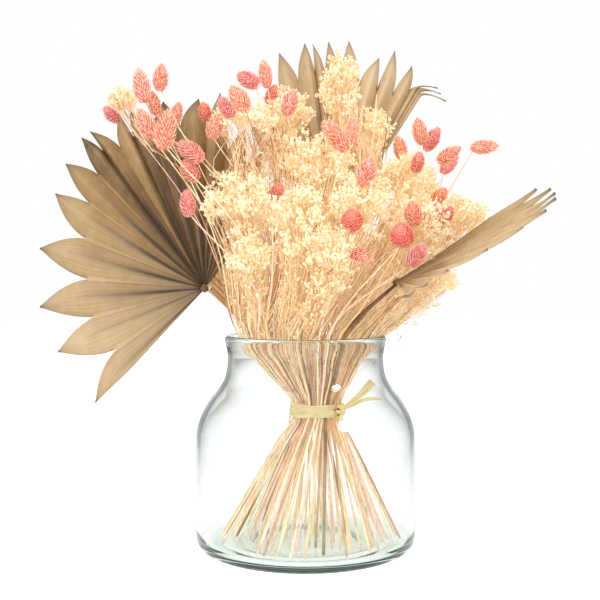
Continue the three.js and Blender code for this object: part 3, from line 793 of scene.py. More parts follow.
def group(name, inputs, outputs, fill):
    """A shader node group with named inputs and outputs, built once."""
    tree = bpy.data.node_groups.get(name)
    if tree:
        return tree
    tree = bpy.data.node_groups.new(name, "ShaderNodeTree")
    for label, default in inputs:
        vector = default is None
        socket = tree.interface.new_socket(
            label, in_out="INPUT", socket_type="NodeSocketVector" if vector else "NodeSocketFloat",
        )
        if not vector:
            socket.default_value = default
    for label in outputs:
        tree.interface.new_socket(label, in_out="OUTPUT", socket_type="NodeSocketFloat")
    source = tree.nodes.new("NodeGroupInput").outputs
    target = tree.nodes.new("NodeGroupOutput").inputs
    for label, socket in fill(tree, source).items():
        tree.links.new(socket, target[label])
    return tree


def dry_fibre():
    """Streaks that run along a dried stem, blade or strand."""

    def fill(tree, source):
        stretch = node(tree, "ShaderNodeCombineXYZ", X=1.0, Y=1.0, Z=source["Stretch"]).outputs[0]
        operation = {"operation": "MULTIPLY"}
        at = node(tree, "ShaderNodeVectorMath", operation, i0=source["Vector"], i1=stretch).outputs[0]
        fine = clouds(tree, at, source["Scale"], 3.0, 0.6)
        broad = clouds(tree, at, times(tree, source["Scale"], 0.22), 1.0)
        mask = plus(tree, times(tree, fine, 0.6), times(tree, broad, 0.4))
        return {"Mask": mask, "Height": fine}

    inputs = [("Vector", None), ("Scale", 400.0), ("Stretch", 0.1)]
    return group("Dry Fibre", inputs, ["Mask", "Height"], fill)


def long_veins():
    """Fine parallel veins that run from the foot of a blade to its tip."""

    def fill(tree, source):
        parts = node(tree, "ShaderNodeSeparateXYZ", Vector=source["Leaf"]).outputs
        wander = clouds(tree, source["Leaf"], 3.0)
        across = plus(tree, parts["X"], times(tree, wander, 0.12))
        wave, fine = (
            maths(tree, "SINE", times(tree, across, times(tree, source["Count"], turn)))
            for turn in (math.pi, 7.9)
        )
        height = plus(tree, times(tree, wave, 0.35), times(tree, fine, 0.15))
        height = plus(tree, height, 0.5)
        # Foot is 1 at the hub and falls off outward; the palm darkens with it, painted shade near the hub
        foot = maths(tree, "POWER", minus(tree, 1.0, parts["Y"]), 3.0)
        tip = maths(tree, "POWER", parts["Y"], 22.0)
        return {"Height": height, "Foot": foot, "Tip": tip}

    return group("Long Veins", [("Leaf", None), ("Count", 12.0)], ["Height", "Foot", "Tip"], fill)


def blemish():
    """Small scattered marks, as on anything dried."""

    def fill(tree, source):
        spots = clouds(tree, source["Vector"], source["Scale"])
        over = times(tree, minus(tree, spots, source["Edge"]), 9.0)
        return {"Mask": kept(tree, over, 0.0, 1.0)}

    return group("Blemish", [("Vector", None), ("Scale", 60.0), ("Edge", 0.62)], ["Mask"], fill)


def placed(finish, tree_group, **inputs):
    return node(finish.tree, "ShaderNodeGroup", {"node_tree": tree_group}, **inputs).outputs


def local(finish):
    return node(finish.tree, "ShaderNodeTexCoord").outputs["Object"]


def attribute(finish, name):
    return node(finish.tree, "ShaderNodeAttribute", {"attribute_name": name}).outputs


def bump(finish, height, strength, distance):
    made = node(finish.tree, "ShaderNodeBump", Height=height, Strength=strength, Distance=distance)
    finish.to(made.outputs["Normal"], "Normal")


def glass_finish(s):
    finish = Finish("Clear glass", roughness=0.0, Base_Color=(1, 1, 1, 1), Transmission_Weight=1.0, IOR=1.5)
    tree = finish.tree
    path = node(tree, "ShaderNodeLightPath").outputs
    clear = node(tree, "ShaderNodeBsdfTransparent", Color=(0.93, 0.965, 0.955, 1)).outputs[0]
    soft = maths(tree, "MAXIMUM", path["Is Shadow Ray"], path["Is Diffuse Ray"])
    surface = node(tree, "ShaderNodeMixShader", Fac=soft, i1=finish.shader.outputs[0], i2=clear).outputs[0]
    tree.links.new(surface, finish.output.inputs["Surface"])
    inside = node(tree, "ShaderNodeVolumeAbsorption", Color=(*s.tint, 1), Density=s.depth).outputs[0]
    tree.links.new(inside, finish.output.inputs["Volume"])
    return finish.material


def stem_finish(s):
    finish = Finish("Dried stem", roughness=0.75)
    tree = finish.tree
    tone = attribute(finish, "tone")["Fac"]
    fibre = placed(finish, dry_fibre(), Vector=local(finish), Scale=900.0, Stretch=0.04)
    base = ramp(tree, tone, [(0.0, s.rust), (0.22, s.peach), (0.5, s.straw), (0.78, s.cream), (1.0, s.blush)])
    shade = ramp(tree, fibre["Mask"], [(0.3, (0.62, 0.5, 0.42)), (0.62, (1.12, 1.1, 1.05))])
    marks = placed(finish, blemish(), Vector=local(finish), Scale=70.0, Edge=0.66)["Mask"]
    colour = mix(tree, 1.0, base, shade, "MULTIPLY")
    colour = mix(tree, times(tree, marks, 0.5), colour, s.rust)
    finish.to(colour, "Base Color")
    # Painted light: the stem glows in its own colour
    finish.glow(colour, s.glow)
    finish.to(plus(tree, times(tree, fibre["Mask"], 0.4), 0.45), "Roughness")
    bump(finish, fibre["Height"], 0.6, 0.0002)
    return finish.material


def floret_finish(s):
    finish = Finish("Broom floret", roughness=0.85)
    tree = finish.tree
    tone = attribute(finish, "tone")["Fac"]
    grain = clouds(tree, local(finish), 1100.0)
    patch = clouds(tree, local(finish), 38.0, 1.0)
    at = plus(tree, tone, times(tree, minus(tree, patch, 0.5), 0.5))
    base = ramp(tree, at, [(0.08, s.gold), (0.5, s.cream), (0.86, s.ivory)])
    shade = ramp(tree, grain, [(0.35, (0.86, 0.8, 0.7)), (0.6, (1.08, 1.07, 1.04))])
    colour = mix(tree, 1.0, base, shade, "MULTIPLY")
    finish.to(colour, "Base Color")
    # Painted light: the floret glows in its own colour
    finish.glow(colour, s.glow)
    bump(finish, grain, 0.5, 0.0002)
    return finish.material


def grass_finish(s):
    finish = Finish("Dyed canary grass", roughness=0.7)
    tree = finish.tree
    tone = attribute(finish, "tone")["Fac"]
    fibre = placed(finish, dry_fibre(), Vector=local(finish), Scale=1300.0, Stretch=0.3)
    at = plus(tree, tone, times(tree, minus(tree, fibre["Mask"], 0.5), 0.45))
    base = ramp(tree, at, [(0.1, s.coral), (0.42, s.pink), (0.85, s.pale)])
    parts = node(tree, "ShaderNodeSeparateXYZ", Vector=attribute(finish, "leaf")["Vector"]).outputs
    warm = mix(tree, 1.0, base, s.salmon, "MULTIPLY")
    colour = mix(tree, parts["X"], base, warm)
    finish.to(colour, "Base Color")
    # Painted light: the scale glows in its own colour
    finish.glow(colour, s.glow)
    finish.to(plus(tree, times(tree, fibre["Mask"], 0.3), 0.5), "Roughness")
    bump(finish, fibre["Height"], 0.5, 0.0002)
    return finish.material


def palm_finish(s):
    finish = Finish("Dried palm leaf", roughness=0.6)
    tree = finish.tree
    leaf = attribute(finish, "leaf")["Vector"]
    tone = attribute(finish, "tone")["Fac"]
    veins = placed(finish, long_veins(), Leaf=leaf, Count=9.0)
    fibre = placed(finish, dry_fibre(), Vector=local(finish), Scale=120.0, Stretch=0.6)
    marks = placed(finish, blemish(), Vector=local(finish), Scale=48.0, Edge=0.68)["Mask"]
    parts = node(tree, "ShaderNodeSeparateXYZ", Vector=leaf).outputs
    worn = plus(tree, times(tree, minus(tree, fibre["Mask"], 0.5), 0.7), tone)
    base = ramp(tree, worn, [(0.0, s.umber), (0.3, s.tan), (0.95, s.pale)])
    stripe = ramp(tree, veins["Height"], [(0.2, (0.93, 0.92, 0.9)), (0.8, (1.03, 1.03, 1.02))])
    colour = mix(tree, 1.0, base, stripe, "MULTIPLY")
    # Painted light and shade across each lobe: painted highlights along both creases, and one half painted
    # darker than the other, darkest beside the middle, as if turned from the light; weaker beyond the cleft
    across = times(tree, plus(tree, parts["X"], 1.0), 0.5)
    fold = ramp(tree, across, [
        (0.0, (1.25, 1.22, 1.12)), (0.03, (1.2, 1.17, 1.08)), (0.07, (0.86, 0.84, 0.8)),
        (0.3, (0.84, 0.82, 0.79)), (0.47, (0.76, 0.73, 0.69)), (0.53, (1.05, 1.04, 1.02)),
        (0.9, (1.08, 1.07, 1.05)), (0.96, (1.02, 1.01, 0.98)), (0.98, (1.2, 1.17, 1.08)),
        (1.0, (1.25, 1.22, 1.12)),
    ])
    joined = times(tree, minus(tree, 0.86, parts["Y"]), 6.0)
    joined = kept(tree, joined, 0.12, 1.0)
    colour = mix(tree, joined, colour, mix(tree, 1.0, colour, fold, "MULTIPLY"))
    # Painted shade: a dark wedge down the middle of each lobe, out from the hub, stronger where the tone is
    # low, and a darkening towards the hub. The dark tips and the scattered marks are the leaf's own colour
    valley = maths(tree, "POWER", minus(tree, 1.0, maths(tree, "ABSOLUTE", parts["X"])), 2.3)
    narrow = maths(tree, "POWER", maths(tree, "MAXIMUM", minus(tree, 0.86, parts["Y"]), 0.0), 1.5)
    age_and_shade = minus(tree, 5.4, times(tree, tone, 4.8))
    shut = times(tree, times(tree, valley, narrow), age_and_shade)
    deep = maths(tree, "MAXIMUM", times(tree, veins["Foot"], 0.75), maths(tree, "MINIMUM", shut, 0.95))
    deep = maths(tree, "MAXIMUM", deep, times(tree, veins["Tip"], 0.75))
    deep = maths(tree, "MAXIMUM", deep, times(tree, marks, 0.35))
    finish.to(mix(tree, deep, colour, s.dark), "Base Color")
    finish.to(plus(tree, times(tree, fibre["Mask"], 0.3), 0.42), "Roughness")
    bump(finish, veins["Height"], 0.2, 0.0004)
    return finish.material


def raffia_finish(s):
    finish = Finish("Raffia", roughness=0.7)
    tree = finish.tree
    leaf = attribute(finish, "leaf")["Vector"]
    veins = placed(finish, long_veins(), Leaf=leaf, Count=5.0)
    fibre = placed(finish, dry_fibre(), Vector=leaf, Scale=9.0, Stretch=0.15)
    at = plus(tree, times(tree, veins["Height"], 0.5), times(tree, fibre["Mask"], 0.7))
    finish.to(ramp(tree, at, [(0.25, s.deep), (0.7, s.pale)]), "Base Color")
    bump(finish, veins["Height"], 0.5, 0.0004)
    return finish.material


def bark_finish(s):
    finish = Finish("Palm leafstalk", roughness=0.7)
    tree = finish.tree
    fibre = placed(finish, dry_fibre(), Vector=local(finish), Scale=420.0, Stretch=0.08)
    marks = placed(finish, blemish(), Vector=local(finish), Scale=55.0, Edge=0.56)["Mask"]
    tone = attribute(finish, "tone")["Fac"]
    at = times(tree, plus(tree, fibre["Mask"], tone), 0.7)
    base = ramp(tree, at, [(0.2, s.dark), (0.6, s.stalk), (1.0, s.tan)])
    finish.to(mix(tree, times(tree, marks, 0.6), base, s.dark), "Base Color")
    bump(finish, fibre["Height"], 0.7, 0.0004)
    return finish.material


MADE = {}


def finished(name, make, settings):
    """A material made once and shared."""
    if name not in MADE:
        MADE[name] = make(settings)
    return MADE[name]


def need(found, what):
    if not found:
        raise RuntimeError("the packed model has no " + what)


# Pieces


class BUNCH_OT_stage(bpy.types.Operator):
    """Make the camera, the studio light and the pale floor"""

    bl_idname = "bunch.stage"
    bl_label = "Stage"

    def execute(self, context):
        s = context.scene.bunch_stage
        scene = context.scene
        camera = bpy.data.cameras.new("camera")
        camera.sensor_width = 36
        camera.lens = FOCUS / PHOTO * camera.sensor_width
        camera.shift_x = (PHOTO / 2 - AXIS_COLUMN) / PHOTO
        camera.shift_y = (HORIZON_ROW - PHOTO / 2) / PHOTO
        obj = bpy.data.objects.new("camera", camera)
        obj.location = (0, -EYE * MM, EYE_Z * MM)
        obj.rotation_euler = (math.pi / 2, 0, 0)
        scene.collection.objects.link(obj)
        scene.camera = obj
        scene.view_settings.view_transform = "Standard"
        self.floor(scene, s)
        x, y, z = LAMP_PLACE
        for side, power in LAMP_SHARES:
            lamp = bpy.data.lights.new("lamp", "AREA")
            lamp.shape = "DISK"
            lamp.size = LAMP_SIZE
            lamp.energy = s.key * power
            light = bpy.data.objects.new("lamp", lamp)
            light.location = (side * x, y, z)
            aim = np.array([0, 0, LAMP_AIM_Z]) - light.location
            tilt = math.acos(-aim[2] / np.linalg.norm(aim))
            light.rotation_euler = (tilt, 0, math.atan2(aim[1], aim[0]) - math.pi / 2)
            scene.collection.objects.link(light)
        self.world(scene, s)
        return {"FINISHED"}

    def floor(self, scene, s):
        sides = 24
        a = np.arange(sides) / sides * 2 * math.pi
        mesh = bpy.data.meshes.new("floor")
        corners = [(FLOOR_R * math.cos(t), FLOOR_R * math.sin(t), 0) for t in a]
        mesh.from_pydata(corners, [], [list(range(sides))])
        finish = Finish("Pale floor", roughness=0.9, Base_Color=(0.9, 0.9, 0.9, 1))
        tree = finish.tree
        # Painted light: the floor glows, strongest in the middle, which keeps it white. For rays other than
        # the camera's, its colour is also painted darker away from the middle: painted shade that the glass
        # shows along its sides
        camera = node(tree, "ShaderNodeLightPath").outputs["Is Camera Ray"]
        parts = node(tree, "ShaderNodeSeparateXYZ", Vector=local(finish)).outputs
        aside = maths(tree, "ABSOLUTE", parts["X"])
        shade = ramp(tree, aside, [(0.16, (1, 1, 1)), (0.5, (s.gloom,) * 3)])
        glow = times(tree, shade, s.glow)
        finish.to(plus(tree, times(tree, camera, 0.5), glow), "Emission Strength")
        grain = clouds(tree, local(finish), 3.0)
        pale = ramp(tree, grain, [(0.3, (0.88, 0.88, 0.88)), (0.7, (0.92, 0.92, 0.92))])
        finish.to(mix(tree, camera, mix(tree, 1.0, pale, shade, "MULTIPLY"), pale), "Base Color")
        finish.shader.inputs["Emission Color"].default_value = (1, 1, 1, 1)
        mesh.materials.append(finish.material)
        obj = bpy.data.objects.new("floor", mesh)
        scene.collection.objects.link(obj)

    def world(self, scene, s):
        world = bpy.data.worlds.new("studio")
        scene.world = world
        world.use_nodes = True
        tree = world.node_tree
        tree.nodes.clear()
        path = node(tree, "ShaderNodeLightPath").outputs
        towards = node(tree, "ShaderNodeTexCoord").outputs["Generated"]
        parts = node(tree, "ShaderNodeSeparateXYZ", Vector=towards).outputs
        ahead = times(tree, plus(tree, parts["Y"], 1.0), 0.5)
        grey = ramp(tree, ahead, [(shade_at, (shade,) * 3) for shade_at, shade in s.shades()])
        far = node(tree, "ShaderNodeBackground", Color=grey, Strength=s.backdrop).outputs[0]
        plain = node(tree, "ShaderNodeBackground", Color=(1, 1, 1, 1), Strength=s.backdrop).outputs[0]
        fill = node(tree, "ShaderNodeBackground", Color=(1, 0.985, 0.97, 1), Strength=s.fill).outputs[0]
        seen_by = node(tree, "ShaderNodeMixShader", Fac=path["Is Camera Ray"], i1=far, i2=plain).outputs[0]
        both = node(tree, "ShaderNodeMixShader", Fac=path["Is Diffuse Ray"], i1=seen_by, i2=fill).outputs[0]
        output = node(tree, "ShaderNodeOutputWorld")
        tree.links.new(both, output.inputs["Surface"])


class BUNCH_OT_vase(bpy.types.Operator):
    """Make the clear glass vase"""

    bl_idname = "bunch.vase"
    bl_label = "Vase"

    def execute(self, context):
        need("vase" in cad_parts, "vase")
        s = context.scene.bunch_vase
        shape = Shape()
        lathe(shape, rounded(GLASS_OUTSIDE + GLASS_INSIDE, 2), s.sides)
        shape.build("glass_vase", [finished("glass", glass_finish, s)], "vase")
        return {"FINISHED"}


class BUNCH_OT_tie(bpy.types.Operator):
    """Make the raffia tie with its knot and loose ends"""

    bl_idname = "bunch.tie"
    bl_label = "Raffia tie"

    def execute(self, context):
        need("raffia_tie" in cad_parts, "raffia tie")
        s = context.scene.bunch_tie
        shape = Shape()
        rng = np.random.default_rng(TIE_SEED)
        a = np.linspace(0, 2 * math.pi, 120, endpoint=False)
        out = np.stack([np.cos(a), np.sin(a), 0 * a], axis=1)
        middle = place(0, TIE_Z)
        for k in range(s.turns):
            f = rng.uniform(0, ANY_TURN, 4)
            r = BAND_R + 0.6 * (k % 3) + 0.35 * np.sin(9 * a + f[0]) + 0.22 * np.sin(17 * a + f[1])
            z = -BAND_HALF + 2 * BAND_HALF * k / (s.turns - 1)
            z = z + 0.9 * np.sin(a + f[2]) + 0.35 * np.sin(3 * a + f[3])
            path = middle + out * r[:, None] + np.stack([0 * a, 0 * a, z], axis=1)
            facing = out + np.stack([0 * a, 0 * a, 0.25 * np.sin(2 * a + f[0])], axis=1)
            width = STRIP_HALF + 0.25 * np.sin(5 * a + f[1])
            shape.ribbon(path, facing, width, STRIP_DEPTH, rng.uniform(), closed=True)
        heart = np.array(KNOT)
        outward = unit(heart - middle) * (1, 1, 0)
        across = np.array([-outward[1], outward[0], 0])
        up = np.array([0, 0, 1.0])
        b = np.linspace(0, 2 * math.pi, 40, endpoint=False)
        for tilt, deep, high, wide in KNOT_LOOPS:
            rise = up * math.cos(tilt) + across * math.sin(tilt)
            ring = outward * np.cos(b)[:, None] * deep + rise * np.sin(b)[:, None] * high
            shape.ribbon(heart + ring, ring, wide, 0.45, rng.uniform(), closed=True, grooves=4)
        t = np.linspace(0, 1, END_POINTS)
        for line, wide, twist in LOOSE_ENDS:
            path = smooth(line, END_POINTS)
            width = np.interp(t, np.linspace(0, 1, len(wide)), wide) * (1 + 0.06 * np.sin(9 * t))
            facing = [0.3 * np.sin(4 * t), -np.cos(twist * t * 2), 0.25 + np.sin(twist * t * 2)]
            shape.ribbon(path, np.stack(facing, axis=1), width, 0.3, rng.uniform(), grooves=4)
        shape.build("raffia_turns", [finished("raffia", raffia_finish, s)], "raffia_tie")
        return {"FINISHED"}


def fan(leaf, thickness):
    """A pleated fan leaf: lobes folded along their middles, joined at the creases up to the clefts."""
    hub, out, side = np.array(leaf["hub"], float), unit(leaf["out"]), unit(leaf["side"])
    n = np.cross(out, side)
    tips, cleft, steep, bow = leaf["tips"], leaf["cleft"], leaf["steep"], leaf["bow"]
    points, coords, faces = [], [], []

    def put(deg, r, lift, coord):
        a = math.radians(deg)
        rise = lift + bow * (r / BOW_R) ** 2
        points.append(hub + out * r * math.cos(a) + side * r * math.sin(a) + n * rise)
        coords.append(coord)
        return len(points) - 1

    def age_at(deg):
        return float(np.interp(deg, *zip(*leaf["ages"])))

    inner, outer, half_columns = 14, 14, 5
    last = len(tips) - 1
    between = [(a[0] + b[0]) / 2 for a, b in zip(tips, tips[1:])]
    creases = []
    for i in range(len(tips) + 1):
        if i == 0:
            deg = tips[0][0] - min(leaf["edge"][0], between[0] - tips[0][0])
        elif i > last:
            deg = tips[last][0] + min(leaf["edge"][1], tips[last][0] - between[-1])
        else:
            deg = between[i - 1]
        reach = min(tips[max(i - 1, 0)][1], tips[min(i, last)][1])
        share = (*tips[min(i, last)], cleft)[2]
        r = reach * (share + 0.04 * (noise(i * 7 + hub[0]) - 0.5))
        rows = [HUB_R + (r - HUB_R) * j / inner for j in range(inner + 1)]
        wide = FULL_LOBE if i in (0, last + 1) else min(tips[i][0] - tips[i - 1][0], FULL_LOBE)
        # Creases of a narrow lobe take a lower tone: painted shade in its tight folds
        age_and_shade = age_at(deg) - 0.4 * (1 - wide / FULL_LOBE)
        creases.append((deg, r, [put(deg, at, 0, (1, at / reach, age_and_shade)) for at in rows]))
    v = np.linspace(-1, 1, 2 * half_columns + 1)
    soft = 0.1
    fold = (math.sqrt(1 + soft) - np.sqrt(v**2 + soft)) / (math.sqrt(1 + soft) - math.sqrt(soft))
    for i, (deg, reach, *more) in enumerate(tips):
        bend = (*more, 0, 0)[1]
        (low_deg, low_r, low), (high_deg, high_r, high) = creases[i], creases[i + 1]
        r = (low_r + high_r) / 2
        half = math.radians(high_deg - low_deg) / 2
        tight = 1.3 if high_deg - low_deg < TIGHT_LOBE else 1.0
        height = min(r * half * steep * tight, PLEAT_MAX * tight)
        degs = np.where(v < 0, deg + (deg - low_deg) * v, deg + (high_deg - deg) * v)
        radii = np.where(v < 0, r + (r - low_r) * v, r + (high_r - r) * v)
        pick = age_at(deg) + 0.16 * (noise(i * 5 + hub[0]) - 0.5)
        rows = []
        for j in range(inner + 1):
            f = j / inner
            h = 0.4 + (height - 0.4) * f
            row = [low[j]]
            for k in range(1, len(v) - 1):
                at = HUB_R + (radii[k] - HUB_R) * f
                row.append(put(degs[k], at, h * fold[k], (v[k], at / reach, pick)))
            rows.append(row + [high[j]])
        drift = 3 * (noise(i * 3 + hub[2]) - 0.5)
        curl = 2.5 * (noise(i * 11 + hub[2]) - 0.5)
        for j in range(1, outer + 1):
            u = j / outer
            share = max((1 - u) ** 1.1 * (1 + 1.1 * u), 0.03)
            crest = height * (1 - 0.7 * u**2.4)
            drop = height * share * (1 - 0.25 * u)
            row = []
            for k in range(len(v)):
                at = radii[k] + (reach - radii[k]) * u
                centre_r = r + (reach - r) * u
                turn = deg + (drift + bend) * u**2 + (degs[k] - deg) * r / centre_r * share
                lift = crest - drop * (1 - fold[k]) + curl * u**2 * v[k]
                row.append(put(turn, at, lift, (v[k], at / reach, pick)))
            rows.append(row)
        grid = np.array(rows)
        quads = [grid[:-1, :-1], grid[1:, :-1], grid[1:, 1:], grid[:-1, 1:]]
        faces.append(np.stack(quads, axis=-1).reshape(-1, 4))
    both, sheets = thicken(np.array(points), np.concatenate(faces), thickness)
    return both, sheets, np.concatenate([coords, coords]), n


def knobbly(a):
    """How far a knob stands out at angle a."""
    return 1 + 0.07 * np.sin(7 * a) + 0.04 * np.sin(13 * a + 1)


class BUNCH_OT_palms(bpy.types.Operator):
    """Make the three pleated palm leaves on their leafstalks"""

    bl_idname = "bunch.palms"
    bl_label = "Palm leaves"

    def execute(self, context):
        s = context.scene.bunch_palm
        blade = finished("palm", palm_finish, s)
        bark = finished("bark", bark_finish, s)
        for name, leaf in PALMS.items():
            need(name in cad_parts, name)
            shape = Shape()
            points, sheets, coords, n = fan(leaf, s.thickness / MM)
            shape.add(points, sheets, coords[:, 2], coords)
            self.stalk(shape, leaf, smooth(LAYOUT.palms[name], STALK_POINTS))
            axes = unit(leaf["out"]), unit(leaf["side"]), n * 0.7
            lathe(shape, rounded(KNOB, 2), KNOB_SIDES, -0.3, leaf["hub"], axes, knobbly, material=1)
            shape.build(name.replace("leaf", "fan"), [blade, bark], name)
        return {"FINISHED"}

    def stalk(self, shape, leaf, path, sides=12):
        """The leafstalk, thin in the vase and thick above it, with a colour of its own there."""
        neck = leaf["neck"]
        sizes = (1.3, 1.4, 1.5 + 0.2 * neck, 1.6 + 0.4 * neck, neck)
        radii = np.interp(path[:, 2], [*STALK_Z, leaf["hub"][2]], sizes)
        first = len(shape.tones)
        swell = 1 + 0.05 * np.sin(np.arange(len(path)) * 0.9)
        shape.tubes([path], [radii * swell], sides, 0, material=1)
        shape.tones[first] = np.repeat(np.interp(path[:, 2], STALK_TURNS, [0.95, leaf["bark"]]), sides)


# A scale: foot, two edges, keel and inner face at two heights, and tip
SCALE_POINTS = (
    (0, 0, 0), (-0.8, 0, 0.3), (0, 0.55, 0.3), (0.8, 0, 0.3), (0, -0.25, 0.3),
    (-0.85, 0, 0.62), (0, 0.5, 0.62), (0.85, 0, 0.62), (0, -0.2, 0.62), (0, 0.12, 1),
)
SCALE_FACES = (
    (0, 2, 1), (0, 3, 2), (0, 4, 3), (0, 1, 4),
    (1, 2, 6), (1, 6, 5), (2, 3, 7), (2, 7, 6), (3, 4, 8), (3, 8, 7), (4, 1, 5), (4, 5, 8),
    (5, 6, 9), (6, 7, 9), (7, 8, 9), (8, 5, 9),
)
# Tone lift at each point: lower at the foot, painted shade in the gaps between scales; higher at the tip, the
# scale's paler tip
SCALE_LIFT = (-0.4, -0.24, -0.08, -0.24, -0.4, 0.02, 0.2, 0.02, -0.15, 0.5)

# A floret: a small cup of four petals
FLORET_POINTS = ((0, 0, 0), (1.1, 0.1, 1.25), (-0.1, 1, 0.95), (-1, -0.1, 1.2), (0.1, -1.1, 1), (0, 0, 0.7))
FLORET_FACES = tuple((0, k % 4 + 1, k) for k in range(1, 5)) + tuple((5, k, k % 4 + 1) for k in range(1, 5))
# Tone lift at each point: lower at the cup's foot and heart, painted shade; higher at the petals' tips
FLORET_LIFT = (-0.25, 0.12, 0.06, 0.12, 0.05, -0.1)

# A floret's stalk: a thin spike with three sides
SPIKE_POINTS = (*((math.cos(t), math.sin(t), 0) for t in (0, 2.094, 4.189)), (0, 0, 1))
SPIKE_FACES = ((0, 2, 1), (0, 1, 3), (1, 2, 3), (2, 0, 3))
SPIKE_LIFT = (0, 0, 0, 0)


def fullness(t):
    """How full a head is at a share t of its length."""
    return np.sin(np.pi * np.clip(0.13 + 0.83 * t**0.85, 0, 1)) ** 0.62


class BUNCH_OT_grass(bpy.types.Operator):
    """Make the pink canary grass heads on their stems"""

    bl_idname = "bunch.grass"
    bl_label = "Canary grass"

    def execute(self, context):
        s, stems = context.scene.bunch_grass, context.scene.bunch_stem
        pink = finished("grass", grass_finish, s)
        straw = finished("stem", stem_finish, stems)
        for i, head in enumerate(LAYOUT.heads):
            name = f"phalaris_{i + 1:02d}"
            need(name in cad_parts, name)
            rng = np.random.default_rng(GRASS_SEED + i)
            shape = Shape()
            self.head(shape, head, s.scales, rng)
            path = smooth(head["path"], GRASS_POINTS)
            thick = stems.radius / MM * rng.uniform(0.75, 1.0)
            radii = np.interp(path[:, 2], GRASS_Z, [thick, thick * 0.85, 0.44, 0.35])
            shape.tubes([path], [radii], 7, rng.choice(GRASS_TONES), material=1)
            shape.build(f"canary_grass_{i + 1:02d}", [pink, straw], name)
        return {"FINISHED"}

    def head(self, shape, head, scales, rng):
        foot, tip, width = head["foot"], head["tip"], head["width"]
        axis = unit(tip - foot)
        length = np.linalg.norm(tip - foot)
        u = unit(np.cross(axis, (0.3, 1, 0.2)))
        v = np.cross(axis, u)
        t = (np.arange(scales) + 0.5) / scales
        t = t + 0.02 * rng.standard_normal(scales)
        t = np.clip(t, 0.01, 0.99)
        a = np.arange(scales) * GOLDEN_ANGLE + rng.uniform(0, ANY_TURN)
        out = u * np.cos(a)[:, None] + v * np.sin(a)[:, None]
        r = width / 2 * fullness(t)
        lean = np.radians(42 - 26 * t + rng.normal(0, 6, scales))[:, None]
        w = unit(axis * np.cos(lean) + out * np.sin(lean))
        face = unit(out - w * np.sum(out * w, axis=1, keepdims=True))
        axes = np.stack([np.cross(face, w), face, w], axis=1)
        size = rng.uniform(0.85, 1.15, scales) * (0.78 + 0.22 * np.sin(np.pi * t))
        sizes = np.stack([0.8 * size, 0.85 * size, 5.9 * size], axis=1)
        centres = foot + axis * (t * (length - 5) - 1.2)[:, None]
        centres = centres + out * (r * 0.92 - 3.0 * np.sin(lean[:, 0]))[:, None]
        tone = rng.uniform(0.4, 0.58) + rng.normal(0, 0.1, scales)
        warmth = (rng.uniform(), 0, 0)
        shape.stamp(SCALE_POINTS, SCALE_FACES, axes, sizes, centres, tone, SCALE_LIFT, leaf=warmth)
        k = np.linspace(0, 1, 9)
        core = [(width / 2 * 0.72 * fullness(x), x * (length - 2)) for x in k[1:-1]]
        # The core takes a low tone: painted shade in the gaps between the scales
        lathe(shape, [(0, 0.3), *core, (0, length - 1.5)], 10, 0.15, foot, (u, v, axis), leaf=warmth)


